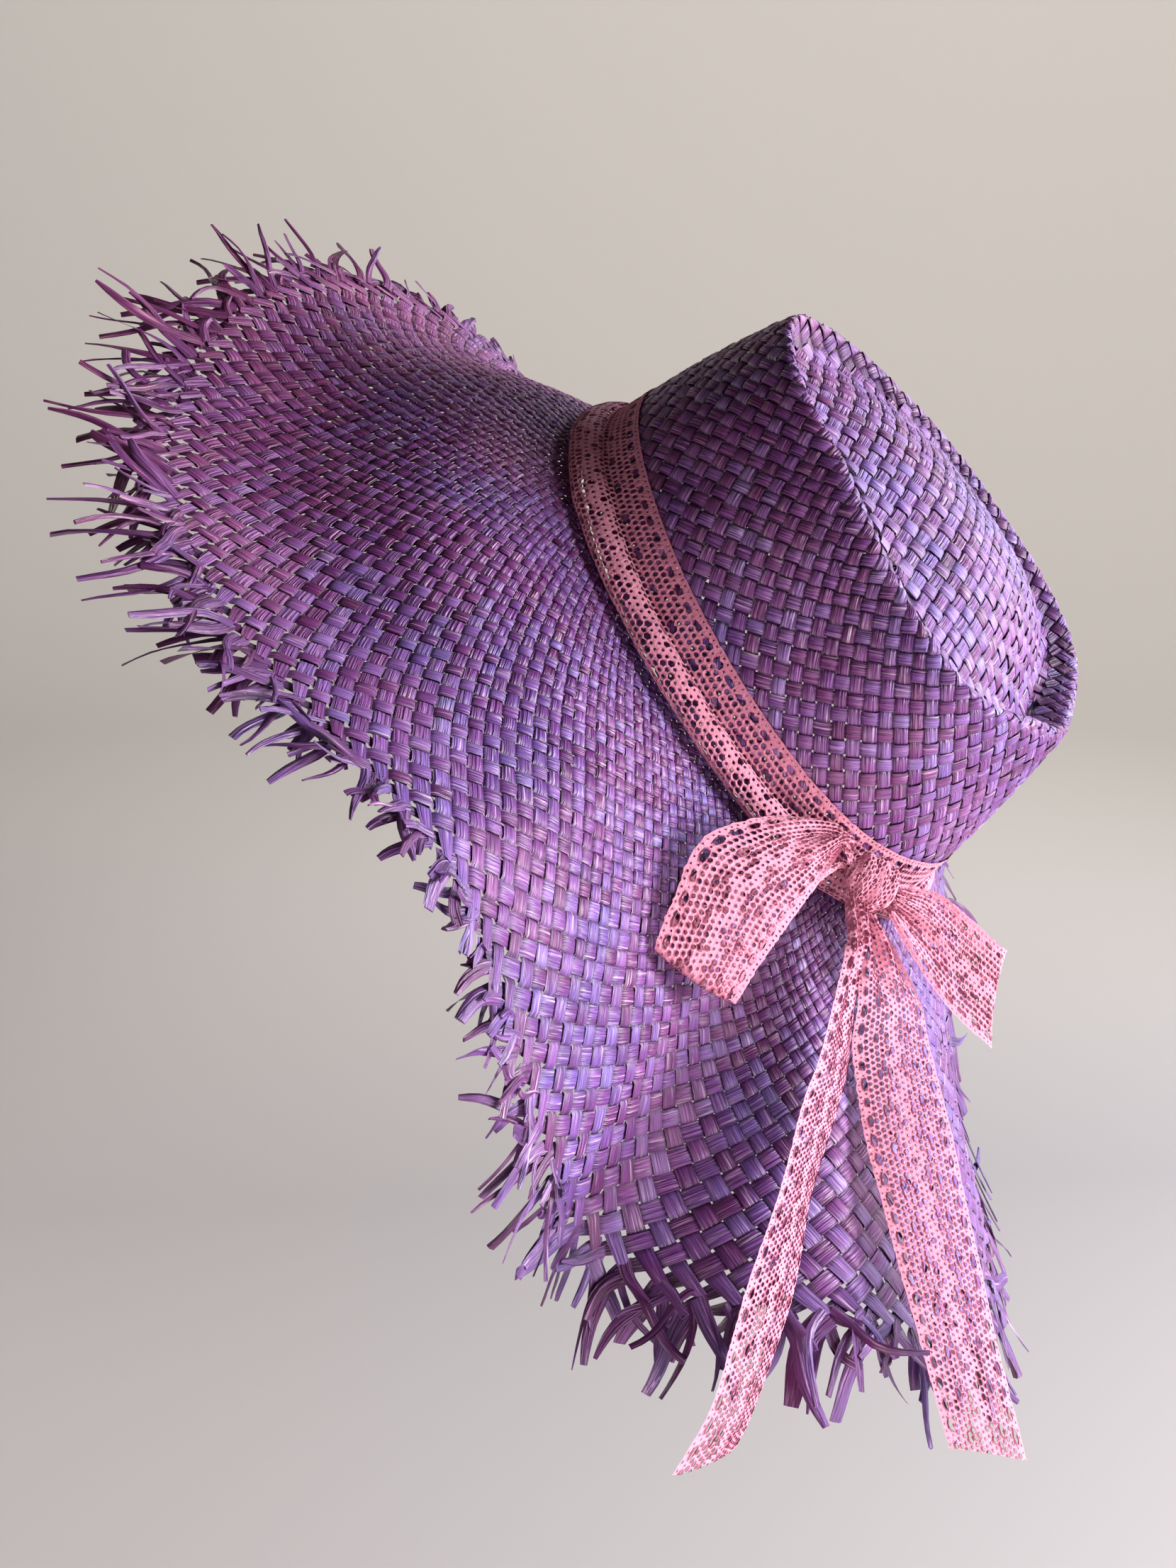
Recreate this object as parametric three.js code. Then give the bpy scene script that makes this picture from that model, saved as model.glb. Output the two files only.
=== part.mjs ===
// A wide-brimmed raffia sun hat with a frayed edge and a lace ribbon tied in a bow, in millimetres, +Z up.
// The hat is held tilted back as on a head. +X is the wearer's left and -Y the way the wearer looks.
// The origin is the middle of the head opening, in the plane where the crown meets the brim.
import * as THREE from "three";

// Driving dimensions in millimetres and degrees
const TILT_BACK = 55;
const HEAD_HALF_LENGTH = 104;
const HEAD_HALF_WIDTH = 80;
const STRAW = 2.0;
const CLEARANCE = 0.3;
const WALL_BULGE = 0.03;
const DOME_HEIGHT = 106;
const DITCH_PLACE = 0.13;
const RIBBON_THICKNESS = 1.2;
const RIBBON_CURL = 1.5;
const FRINGE_BACKING = 5;
const FRINGE_CLEARANCE = 0.5;
const FRINGE_THICKNESS = 1.4;
const FRINGE_DROOP_PER_MM = 0.35;
const FRINGE_SPREAD = 0.35;
const FRINGE_LIFT = 1.5;
const LOCK_COUNT = 84;
const LOCK_SHARE = 0.66;
const LOCK_TIP_SHARE = 0.45;
const LOCK_SHORTENING = 0.25;
const KNOT_CENTRE = [56, 67.2, -63.4];
const KNOT_HALF_LENGTH = 9.5;
const KNOT_RADIUS = 10;
const KNOT_FLATTEN = 0.56;
const LOOP_LINE = [-15, 19, -19];
const KNOT_OUTWARD = [0.89, 0.39, 0.24];
const AROUND = 60;

// The crown's folded ridge, from the front (0) over the left (90) to the back (180). The right mirrors it.
const RIDGE_ROWS = [
  { azimuth: 0, radius: 96, height: 91, ditch: 12 },
  { azimuth: 20, radius: 86, height: 90.5, ditch: 9 },
  { azimuth: 50, radius: 64, height: 90.5, ditch: 3 },
  { azimuth: 90, radius: 62, height: 88.5, ditch: 1.5 },
  { azimuth: 130, radius: 79, height: 92, ditch: 8 },
  { azimuth: 160, radius: 76, height: 97, ditch: 17 },
  { azimuth: 180, radius: 80, height: 96.5, ditch: 20 },
];

// The woven brim: its width along the straw, and how far it slopes down at the crown and at its edge.
const BRIM_ROWS = [
  { azimuth: 0, width: 142, rootDroop: 40, edgeDroop: 27 },
  { azimuth: 30, width: 147, rootDroop: 37, edgeDroop: 37 },
  { azimuth: 60, width: 150, rootDroop: 26, edgeDroop: 26 },
  { azimuth: 90, width: 145, rootDroop: 13, edgeDroop: 8 },
  { azimuth: 105, width: 146, rootDroop: 17, edgeDroop: 15 },
  { azimuth: 120, width: 150, rootDroop: 26, edgeDroop: 30 },
  { azimuth: 135, width: 156, rootDroop: 33, edgeDroop: 46 },
  { azimuth: 150, width: 156, rootDroop: 19, edgeDroop: 2 },
  { azimuth: 180, width: 160, rootDroop: 23, edgeDroop: 17 },
  { azimuth: 210, width: 152, rootDroop: 26, edgeDroop: 32 },
  { azimuth: 240, width: 146, rootDroop: 20, edgeDroop: 22 },
  { azimuth: 270, width: 145, rootDroop: 27, edgeDroop: 27 },
  { azimuth: 300, width: 145, rootDroop: 37, edgeDroop: 33 },
  { azimuth: 330, width: 145, rootDroop: 40, edgeDroop: 20 },
];

// How far the frayed ends reach past the woven edge.
const FRINGE_ROWS = [
  { azimuth: 0, length: 36 },
  { azimuth: 40, length: 42 },
  { azimuth: 65, length: 36 },
  { azimuth: 90, length: 15 },
  { azimuth: 115, length: 17 },
  { azimuth: 135, length: 32 },
  { azimuth: 180, length: 36 },
  { azimuth: 240, length: 34 },
  { azimuth: 300, length: 36 },
];

// Section of the lace band, from its top edge on the crown down to the edge that lies out on the brim.
const BAND_ROWS = [
  { height: 25.5, standOff: 0.4 },
  { height: 17, standOff: 0.4 },
  { height: 12, standOff: 1.0 },
  { height: 9, standOff: 3.6 },
  { height: 5.5, standOff: 3.0 },
  { height: 0.8, standOff: 7.0 },
];

// The ribbon's two edges along each piece of the bow, from the knot outwards. A loop folds back to it.
const LEFT_LOOP_ROWS = [
  { upper: [62, 56, -45], lower: [65, 57, -56] },
  { upper: [83, 38, -35], lower: [76, 57, -57] },
  { upper: [105, 27, -39], lower: [95, 48, -68] },
  { upper: [121, 22, -48], lower: [108, 44, -76] },
  { upper: [137, 18, -68], lower: [119, 41, -92] },
  { upper: [132, 16, -70], lower: [114, 38, -94] },
  { upper: [110, 26, -59], lower: [96, 46, -87] },
  { upper: [87, 38, -58], lower: [76, 54, -87] },
  { upper: [68, 49, -57], lower: [66, 57, -82] },
  { upper: [57, 54, -58], lower: [57, 56, -69] },
];
const RIGHT_LOOP_ROWS = [
  { upper: [50, 76.5, -66], lower: [55.5, 73, -73.5] },
  { upper: [34, 85, -71], lower: [43, 79, -93] },
  { upper: [24, 95, -83], lower: [34, 91, -114] },
  { upper: [14, 105, -95], lower: [24, 103, -129] },
  { upper: [9, 103, -96], lower: [19, 101, -130] },
  { upper: [14, 92, -85], lower: [24, 87, -114] },
  { upper: [22, 82, -75], lower: [30, 77, -94] },
  { upper: [46.5, 74, -66], lower: [52, 70.5, -73.5] },
];
const LEFT_TAIL_ROWS = [
  { upper: [68, 61, -66], lower: [60, 61, -70] },
  { upper: [80, 66, -76], lower: [64, 67, -80] },
  { upper: [94, 69, -83], lower: [69, 67, -91] },
  { upper: [118, 70, -106], lower: [87, 70, -120] },
  { upper: [133, 69, -119], lower: [100, 70, -135] },
  { upper: [157, 70, -140], lower: [124, 70, -154] },
  { upper: [180, 67, -166], lower: [148, 72, -181] },
  { upper: [201, 64, -196], lower: [170, 67, -212] },
  { upper: [212, 55, -217], lower: [178, 64, -222] },
];
const RIGHT_TAIL_ROWS = [
  { upper: [60.5, 64, -71.5], lower: [53.5, 66, -76.5] },
  { upper: [59, 64, -81], lower: [46, 69.5, -84] },
  { upper: [62, 65, -92], lower: [41, 75, -97] },
  { upper: [65, 66, -107], lower: [36, 81, -113] },
  { upper: [73, 67, -120], lower: [43, 87, -127] },
  { upper: [92, 78, -143], lower: [66, 102, -148] },
  { upper: [106, 89, -160], lower: [78, 111, -167] },
  { upper: [120, 100, -177], lower: [92, 121, -185] },
  { upper: [132, 111, -195], lower: [103, 130, -205] },
  { upper: [142, 125, -227], lower: [115, 145, -241] },
];

const radians = THREE.MathUtils.degToRad;
const range = (count) => [...Array(count).keys()];

// A smooth curve through one column of a table that closes on itself at 360 degrees.
function around(rows, column, azimuth) {
  const turn = ((azimuth % 360) + 360) % 360;
  const count = rows.length;
  const last = rows.findLastIndex((row) => row.azimuth <= turn);
  const at = (step) => {
    const index = last + step;
    const laps = Math.floor(index / count);
    const row = rows[index - laps * count];
    return { place: row.azimuth + 360 * laps, value: row[column] };
  };
  const [before, from, to, after] = [-1, 0, 1, 2].map(at);
  const span = to.place - from.place;
  const t = (turn - from.place) / span;
  const slopeFrom = ((to.value - before.value) / (to.place - before.place)) * span;
  const slopeTo = ((after.value - from.value) / (after.place - from.place)) * span;
  return (
    (2 * t ** 3 - 3 * t ** 2 + 1) * from.value +
    (t ** 3 - 2 * t ** 2 + t) * slopeFrom +
    (3 * t ** 2 - 2 * t ** 3) * to.value +
    (t ** 3 - t ** 2) * slopeTo
  );
}

const mirrorRows = (rows) => [
  ...rows,
  ...rows
    .slice(1, -1)
    .reverse()
    .map((row) => ({ ...row, azimuth: 360 - row.azimuth })),
];
const RIDGE = mirrorRows(RIDGE_ROWS);

// Where the head opening's oval lies at an azimuth, and the way out from it in the opening's plane.
function ovalAt(azimuth) {
  const sine = Math.sin(radians(azimuth));
  const cosine = Math.cos(radians(azimuth));
  const point = new THREE.Vector3(HEAD_HALF_WIDTH * sine, -HEAD_HALF_LENGTH * cosine, 0);
  const out = new THREE.Vector3(sine / HEAD_HALF_WIDTH, -cosine / HEAD_HALF_LENGTH, 0).normalize();
  return { point, out };
}

// The crown's side wall, from the brim (share 0) up to the ridge (share 1), drawn in by an inset.
function crownWall(azimuth, share, inset = 0) {
  const { point, out } = ovalAt(azimuth);
  const radius = around(RIDGE, "radius", azimuth);
  const height = around(RIDGE, "height", azimuth);
  const turn = radians(azimuth);
  const ridge = new THREE.Vector3(radius * Math.sin(turn), -radius * Math.cos(turn), 0);
  const swell = 1 + WALL_BULGE * Math.sin(Math.PI * share);
  const place = point.lerp(ridge, share).multiplyScalar(swell).addScaledVector(out, -inset);
  return place.setZ(height * share);
}

// Height of the crown's tip: a narrow ditch inside the ridge, then a dome.
// inward runs from the ridge (0) to the middle (1).
function tipHeight(azimuth, inward) {
  const ridge = around(RIDGE, "height", azimuth);
  const ditch = around(RIDGE, "ditch", azimuth);
  const reach = inward / DITCH_PLACE;
  const rise = inward ** 2 * (3 - 2 * inward);
  return ridge + (DOME_HEIGHT - ridge) * rise - ditch * reach * Math.exp(1 - reach);
}

function crownTip(azimuth, inward) {
  const radius = around(RIDGE, "radius", azimuth) * (1 - inward);
  const x = radius * Math.sin(radians(azimuth));
  const y = -radius * Math.cos(radians(azimuth));
  return new THREE.Vector3(x, y, tipHeight(azimuth, inward));
}

// A place on the brim, whose section is an arc from the root slope to the edge slope.
// distance is a share of its width, and below is the depth under its top.
function brimAt(azimuth, distance, below = 0) {
  const { point, out } = ovalAt(azimuth);
  const width = around(BRIM_ROWS, "width", azimuth);
  const root = radians(around(BRIM_ROWS, "rootDroop", azimuth));
  const edge = radians(around(BRIM_ROWS, "edgeDroop", azimuth));
  const turn = Math.abs(edge - root) < 1e-4 ? 1e-4 : edge - root;
  const slope = root + turn * distance;
  const reach = (width * (Math.sin(slope) - Math.sin(root))) / turn - below * Math.sin(slope);
  const drop = (width * (Math.cos(root) - Math.cos(slope))) / turn + below * Math.cos(slope);
  return point.addScaledVector(out, reach).setZ(-drop);
}

// A closed body from a list of rows of points: each row runs round the hat, and a row of one point is a pole.
function bodyFromRings(rings, closed) {
  const flat = rings.flat();
  const starts = rings.map((_, i) => rings.slice(0, i).reduce((sum, ring) => sum + ring.length, 0));
  const triangles = [];
  const pairs = closed ? rings.length : rings.length - 1;
  for (const i of range(pairs)) {
    const j = (i + 1) % rings.length;
    const count = Math.max(rings[i].length, rings[j].length);
    const corner = (ring, k) => starts[ring] + (k % count) % rings[ring].length;
    for (const k of range(count)) {
      const quad = [corner(i, k), corner(i, k + 1), corner(j, k + 1), corner(j, k)];
      triangles.push([quad[0], quad[1], quad[2]].map((n) => flat[n]));
      triangles.push([quad[0], quad[2], quad[3]].map((n) => flat[n]));
    }
  }
  return bodyFromTriangles(triangles.filter(hasArea));
}

// A quad beside a pole has two equal corners, so one of its two triangles is empty.
function hasArea([a, b, c]) {
  return !a.equals(b) && !b.equals(c) && !c.equals(a);
}

function bodyFromTriangles(triangles) {
  const volume = triangles.reduce((sum, [a, b, c]) => sum + a.dot(b.clone().cross(c)), 0);
  const facing = volume < 0 ? triangles.map(([a, b, c]) => [a, c, b]) : triangles;
  const geometry = new THREE.BufferGeometry().setFromPoints(facing.flat());
  geometry.computeVertexNormals();
  return geometry;
}

const STATIONS = range(AROUND).map((i) => (360 * i) / AROUND);
const ringOf = (place) => STATIONS.map(place);

// Crown: a hollow woven cap. Under the ridge the straw is doubled, so the inside ends at the ditch's depth.
function crownGeometry() {
  const tipShares = [0.75, 0.52, 0.34, 0.22, DITCH_PLACE, 0.06, 0];
  const outerTip = tipShares.map((inward) => ringOf((a) => crownTip(a, inward)));
  const outerWall = [0.92, 0.7, 0.45, 0.2].map((share) => ringOf((a) => crownWall(a, share)));
  const foot = (inset) => ringOf((a) => crownWall(a, 0, inset).setZ(CLEARANCE));
  const ceiling = (a, inward) => tipHeight(a, Math.max(inward, DITCH_PLACE)) - STRAW;
  const topShare = (a) => ceiling(a, 0) / around(RIDGE, "height", a);
  const innerWall = [0.35, 0.7, 1].map((part) => ringOf((a) => crownWall(a, part * topShare(a), STRAW)));
  const innerTip = [0.78, 0.52, 0.25].map((part) =>
    ringOf((a) => {
      const place = crownWall(a, topShare(a), STRAW).multiplyScalar(part);
      const inward = 1 - Math.hypot(place.x, place.y) / around(RIDGE, "radius", a);
      return place.setZ(ceiling(a, inward));
    }),
  );
  const apex = [new THREE.Vector3(0, 0, DOME_HEIGHT)];
  const innerApex = [new THREE.Vector3(0, 0, DOME_HEIGHT - STRAW)];
  const walls = [...outerWall, foot(0), foot(STRAW), ...innerWall];
  return bodyFromRings([apex, ...outerTip, ...walls, ...innerTip, innerApex], false);
}

function brimGeometry() {
  const top = [0, 0.15, 0.32, 0.5, 0.68, 0.85, 1].map((share) => ringOf((a) => brimAt(a, share)));
  const under = [1, 0.75, 0.5, 0.25, 0].map((share) => ringOf((a) => brimAt(a, share, STRAW)));
  return bodyFromRings([...top, ...under], true);
}

// Lace band: one section carried round the crown.
// Each row drops with the brim's own slope, so the hem lies on the straw.
function bandGeometry() {
  const section = (a) => {
    const slope = Math.tan(radians(around(BRIM_ROWS, "rootDroop", a)));
    return BAND_ROWS.map(({ height, standOff }) => new THREE.Vector2(standOff, height - standOff * slope));
  };
  const thickened = (a, index) => {
    const line = section(a);
    const from = line[Math.max(index - 1, 0)];
    const to = line[Math.min(index + 1, line.length - 1)];
    const along = to.clone().sub(from).normalize();
    return line[index].clone().add(new THREE.Vector2(-along.y, along.x).multiplyScalar(RIBBON_THICKNESS));
  };
  const seat = (a, { x, y }) => {
    const share = Math.max(y, 0) / around(RIDGE, "height", a);
    return crownWall(a, share, -x).setZ(y);
  };
  const inner = range(BAND_ROWS.length).map((i) => ringOf((a) => seat(a, section(a)[i])));
  const outer = range(BAND_ROWS.length).map((i) => ringOf((a) => seat(a, thickened(a, i))));
  return bodyFromRings([...inner, ...outer.reverse()], true);
}

// Fringe: a narrow backing along the woven edge with tapered locks, which lean and lift in turn.
function fringeGeometry() {
  const pitch = 360 / LOCK_COUNT;
  const place = (azimuth, distance, below, lift = 0) => {
    const edge = brimAt(azimuth, 1, below);
    const slope = radians(around(BRIM_ROWS, "edgeDroop", azimuth) + FRINGE_DROOP_PER_MM * distance);
    const outward = ovalAt(azimuth).out;
    return edge.addScaledVector(outward, distance * Math.cos(slope)).add(
      new THREE.Vector3(0, 0, lift - distance * Math.sin(slope)),
    );
  };
  const stack = (azimuth, distance, lift) =>
    [0, FRINGE_THICKNESS].map((below) => place(azimuth, distance, below, lift));
  const triangles = [];
  const quad = (a, b, c, d) => triangles.push([a, b, c], [a, c, d]);
  const slab = (inner, outer) => {
    quad(inner[0][0], inner[1][0], outer[1][0], outer[0][0]);
    quad(inner[1][1], inner[0][1], outer[0][1], outer[1][1]);
  };
  for (const i of range(LOCK_COUNT)) {
    const start = i * pitch;
    const stop = start + LOCK_SHARE * pitch;
    const next = ((i + 1) % LOCK_COUNT) * pitch;
    const root = [start, stop, next].map((azimuth) => stack(azimuth, FRINGE_CLEARANCE, 0));
    const comb = [start, stop, next].map((azimuth) => stack(azimuth, FRINGE_BACKING, 0));
    slab(root.slice(0, 2), comb.slice(0, 2));
    slab(root.slice(1), comb.slice(1));
    for (const k of [0, 1]) quad(root[k][1], root[k + 1][1], root[k + 1][0], root[k][0]);
    quad(comb[1][0], comb[2][0], comb[2][1], comb[1][1]);
    const side = i % 2 ? 1 : -1;
    const length = around(FRINGE_ROWS, "length", start) * (1 - LOCK_SHORTENING * Math.sin(i * i) ** 2);
    const middle = (start + stop) / 2;
    const rowAt = (part) => {
      const half = ((stop - start) / 2) * (1 - (1 - LOCK_TIP_SHARE) * part);
      const lean = middle + side * FRINGE_SPREAD * pitch * part;
      const reach = FRINGE_BACKING + (length - FRINGE_BACKING) * part;
      return [lean - half, lean + half].map((azimuth) => stack(azimuth, reach, side * FRINGE_LIFT * part));
    };
    const lock = [comb.slice(0, 2), rowAt(0.5), rowAt(1)];
    for (const k of [0, 1]) {
      slab(lock[k], lock[k + 1]);
      quad(lock[k][0][1], lock[k][0][0], lock[k + 1][0][0], lock[k + 1][0][1]);
      quad(lock[k][1][0], lock[k][1][1], lock[k + 1][1][1], lock[k + 1][1][0]);
    }
    quad(lock[2][0][0], lock[2][1][0], lock[2][1][1], lock[2][0][1]);
  }
  return bodyFromTriangles(triangles);
}

// A length of ribbon between two edge curves, slightly curled across, with a flat end at each end.
function ribbonGeometry(rows, stepsPerRow) {
  const curves = ["upper", "lower"].map(
    (edge) => new THREE.CatmullRomCurve3(rows.map((row) => new THREE.Vector3(...row[edge]))),
  );
  const steps = (rows.length - 1) * stepsPerRow;
  const rings = range(steps + 1).map((i) => {
    const t = i / steps;
    const [upper, lower] = curves.map((curve) => curve.getPoint(t));
    const tangent = curves[0].getTangent(t).add(curves[1].getTangent(t));
    const across = lower.clone().sub(upper);
    const normal = tangent.cross(across).normalize();
    const middle = upper.clone().lerp(lower, 0.5).addScaledVector(normal, RIBBON_CURL);
    const half = RIBBON_THICKNESS / 2;
    const front = [upper, middle, lower].map((point) => point.clone().addScaledVector(normal, half));
    const rear = [lower, middle, upper].map((point) => point.clone().addScaledVector(normal, -half));
    return [...front, ...rear];
  });
  const triangles = [];
  const quad = (a, b, c, d) => triangles.push([a, b, c], [a, c, d]);
  for (const i of range(steps)) {
    const [here, there] = [rings[i], rings[i + 1]];
    for (const k of range(6)) quad(here[k], here[(k + 1) % 6], there[(k + 1) % 6], there[k]);
  }
  for (const [ring, flip] of [[rings[0], false], [rings[steps], true]]) {
    for (const k of [0, 1]) {
      const cap = [ring[k], ring[5 - k], ring[4 - k], ring[k + 1]];
      quad(...(flip ? cap.reverse() : cap));
    }
  }
  return bodyFromTriangles(triangles);
}

// Knot: a flattened barrel of wound ribbon, with its axis along the line between the two loops.
function knotGeometry() {
  const profile = [
    [0, -1],
    [0.72, -1],
    [0.95, -0.55],
    [1, 0],
    [0.95, 0.55],
    [0.72, 1],
    [0, 1],
  ].map(([radius, height]) => new THREE.Vector2(radius * KNOT_RADIUS, height * KNOT_HALF_LENGTH));
  return new THREE.LatheGeometry(profile, 16);
}

const raffia = new THREE.MeshStandardMaterial({ color: 0x6b4a94, roughness: 0.55, metalness: 0 });
const lace = new THREE.MeshStandardMaterial({ color: 0xdc90b4, roughness: 0.85, metalness: 0 });

function piece(name, geometry, material) {
  const mesh = new THREE.Mesh(geometry, material);
  mesh.name = name;
  return mesh;
}

const woven = new THREE.Group();
woven.add(piece("crown", crownGeometry(), raffia));
woven.add(piece("brim", brimGeometry(), raffia));
woven.add(piece("brim_fringe", fringeGeometry(), raffia));
woven.add(piece("lace_band", bandGeometry(), lace));
woven.rotation.x = -radians(TILT_BACK);

// The knot's barrel lies along the line between the loops and shows its broad side outwards.
const knot = piece("bow_knot", knotGeometry(), lace);
const loopLine = new THREE.Vector3(...LOOP_LINE).normalize();
const knotSide = loopLine.clone().cross(new THREE.Vector3(...KNOT_OUTWARD)).normalize();
const knotFace = knotSide.clone().cross(loopLine);
knot.quaternion.setFromRotationMatrix(new THREE.Matrix4().makeBasis(knotSide, loopLine, knotFace.negate()));
knot.scale.z = KNOT_FLATTEN;
knot.position.set(...KNOT_CENTRE);

const bow = new THREE.Group();
bow.add(knot);
bow.add(piece("bow_loop_left", ribbonGeometry(LEFT_LOOP_ROWS, 3), lace));
bow.add(piece("bow_loop_right", ribbonGeometry(RIGHT_LOOP_ROWS, 3), lace));
bow.add(piece("ribbon_tail_left", ribbonGeometry(LEFT_TAIL_ROWS, 2), lace));
bow.add(piece("ribbon_tail_right", ribbonGeometry(RIGHT_TAIL_ROWS, 2), lace));

const hat = new THREE.Group();
hat.add(woven);
hat.add(bow);

export default hat;
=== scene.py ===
# %% [markdown]
# A raffia sun hat with a lace ribbon.
# The real hat is woven by hand from strips of dyed palm leaf, in a plain weave on the bias: two families
# of strips spiral up the crown and out over the brim, one to the left and one to the right, and pass over
# and under each other in turn. The free ends are left as a fringe. A cotton lace ribbon goes round the
# crown's foot and is tied in a bow at the back left.
# The solids of the frame give the true shape. This lesson dresses them with real strips and real lace.

# %% Load the frame
import math

import bpy
import numpy as np
from mathutils import Matrix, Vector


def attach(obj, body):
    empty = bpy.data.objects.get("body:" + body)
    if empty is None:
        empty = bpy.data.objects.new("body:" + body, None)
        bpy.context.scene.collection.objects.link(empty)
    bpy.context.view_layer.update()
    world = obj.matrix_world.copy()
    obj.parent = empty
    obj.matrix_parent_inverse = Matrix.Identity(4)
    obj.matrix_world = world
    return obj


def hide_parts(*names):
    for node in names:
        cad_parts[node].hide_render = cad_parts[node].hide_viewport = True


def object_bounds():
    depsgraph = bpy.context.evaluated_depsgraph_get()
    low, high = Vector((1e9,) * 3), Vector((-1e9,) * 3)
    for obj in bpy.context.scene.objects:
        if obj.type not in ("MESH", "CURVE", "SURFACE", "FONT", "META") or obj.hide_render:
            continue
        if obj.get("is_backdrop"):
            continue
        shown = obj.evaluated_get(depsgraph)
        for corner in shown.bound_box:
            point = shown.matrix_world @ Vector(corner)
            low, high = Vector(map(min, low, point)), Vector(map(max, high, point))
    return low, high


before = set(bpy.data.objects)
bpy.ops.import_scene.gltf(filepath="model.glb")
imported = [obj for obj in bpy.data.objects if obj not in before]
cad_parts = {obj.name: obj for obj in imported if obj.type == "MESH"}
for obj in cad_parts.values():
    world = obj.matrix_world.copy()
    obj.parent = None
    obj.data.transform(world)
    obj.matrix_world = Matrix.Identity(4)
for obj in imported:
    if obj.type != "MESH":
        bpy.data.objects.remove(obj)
cad_box = [list(corner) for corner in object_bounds()]
print("frame nodes:", sorted(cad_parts))

# %% [markdown]
# The camera comes first, so that every later step can be looked at from the right side.
# It stands to the hat's left and a little behind, slightly above, with a long lens. Its three axes are
# worked out from an azimuth and an elevation, as a turntable would give them.

# %% Camera
CAMERA_AZIMUTH = math.radians(113.6)
CAMERA_ELEVATION = math.radians(13.9)
CAMERA_PLACE = (0.8794, 0.3179, 0.1840)
CAMERA_LENS = 57.98
SENSOR = 36.0

camera_right = np.array([math.cos(CAMERA_AZIMUTH), math.sin(CAMERA_AZIMUTH), 0.0])
camera_back = np.array([
    math.sin(CAMERA_AZIMUTH) * math.cos(CAMERA_ELEVATION),
    -math.cos(CAMERA_AZIMUTH) * math.cos(CAMERA_ELEVATION),
    math.sin(CAMERA_ELEVATION),
])
camera_up = np.cross(camera_back, camera_right)


def aimed(place, right, up, back):
    """A matrix that puts an object at place with its own X, Y and Z along right, up and back."""
    matrix = Matrix.Identity(4)
    for column, axis in enumerate((right, up, back, place)):
        for row in range(3):
            matrix[row][column] = axis[row]
    return matrix


camera_data = bpy.data.cameras.new("camera")
camera_data.lens = CAMERA_LENS
camera_data.sensor_width = SENSOR
camera = bpy.data.objects.new("camera", camera_data)
camera.matrix_world = aimed(CAMERA_PLACE, camera_right, camera_up, camera_back)
bpy.context.scene.collection.objects.link(camera)
bpy.context.scene.camera = camera
print("camera at", CAMERA_PLACE)

# %% [markdown]
# The hat's shape. Azimuth 0 is the front, 90 the wearer's left and 180 the back.
# Sizes are millimetres in the hat's own upright frame, and one turn about X then tilts the whole hat back
# as it is worn. Many points could be pulled about by hand, but a few measures round the hat are easier to
# read and to change: short tables hold them, and a smooth closed curve runs through each column.

# %% Shape tables
MM = 0.001
RIDGE = {
    "azimuth": [0, 20, 50, 90, 130, 160, 180, 200, 230, 270, 310, 340],
    "radius": [96, 86, 64, 62, 79, 76, 80, 79, 84, 70, 70, 88],
    "height": [91, 90.5, 90.5, 88.5, 92, 97, 96.5, 97, 97, 96, 95, 92],
    "ditch": [12, 9, 3, 1.5, 8, 17, 20, 17, 12, 8, 6, 9],
    "roll": [2.6, 2.6, 2.4, 2.4, 3, 4.5, 4.5, 4.5, 4, 3, 2.6, 2.6],
}
BRIM = {
    "azimuth": [0, 30, 60, 90, 105, 120, 135, 150, 180, 210, 240, 270, 300, 330],
    "width": [142, 147, 150, 145, 146, 150, 156, 156, 160, 152, 146, 145, 145, 145],
    "root_droop": [40, 37, 26, 13, 17, 26, 33, 19, 23, 26, 20, 27, 37, 40],
    "edge_droop": [27, 37, 26, 8, 15, 30, 42, 6, 17, 32, 22, 27, 33, 23],
    "sag": [8, 12, 14, 3, 0, 0, 0, 0, 0, 4, 6, 8, 8, 8],
}
FRINGE = {
    "azimuth": [0, 40, 65, 90, 105, 120, 135, 180, 240, 300, 330],
    "length": [36, 42, 36, 15, 18, 29, 33, 36, 34, 24, 12],
}


def cubic(t, v1, v2, slope1, slope2):
    """The cubic from v1 to v2 as t goes from 0 to 1, with the given slope at each end."""
    start = (2 * t**3 - 3 * t**2 + 1) * v1 + (t**3 - 2 * t**2 + t) * slope1
    return start + (3 * t**2 - 2 * t**3) * v2 + (t**3 - t**2) * slope2


def around(table, column, azimuth):
    """A smooth closed curve through one column.

    Between two rows it is a cubic, whose slope at a row is that of the chord between its neighbours.
    """
    place = np.asarray(table["azimuth"], float)
    value = np.asarray(table[column], float)
    turn = np.mod(azimuth, 360.0)
    index = np.searchsorted(place, turn, side="right") - 1

    def row(step):
        laps, wrapped = np.divmod(index + step, len(place))
        return place[wrapped] + 360.0 * laps, value[wrapped]

    (p0, v0), (p1, v1), (p2, v2), (p3, v3) = (row(step) for step in (-1, 0, 1, 2))
    span = p2 - p1
    slope1 = (v2 - v0) / (p2 - p0) * span
    slope2 = (v3 - v1) / (p3 - p1) * span
    return cubic((turn - p1) / span, v1, v2, slope1, slope2)


print("ridge height at the left:", around(RIDGE, "height", np.array([90.0])).round(1).tolist())

# %% [markdown]
# The crown is a wall that leans from the head oval in to a folded ridge, then a ditch and a low dome.
# On the real hat the ridge is pinched up by hand and rolls over softly, so the wall and the tip are first
# made to meet in a sharp line, and a weighted mean of places below and above then rounds it off.

# %% Crown shape
HEAD_HALF_WIDTH = 80.0
HEAD_HALF_LENGTH = 104.0
WALL_BULGE = 0.03
WALL_HEIGHT = 92.0
DOME_HEIGHT = 103.0
DITCH_PLACE = 0.13
ROLL_WEIGHTS = {-2: 1, -1: 2, 0: 3, 1: 2, 2: 1}


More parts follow.
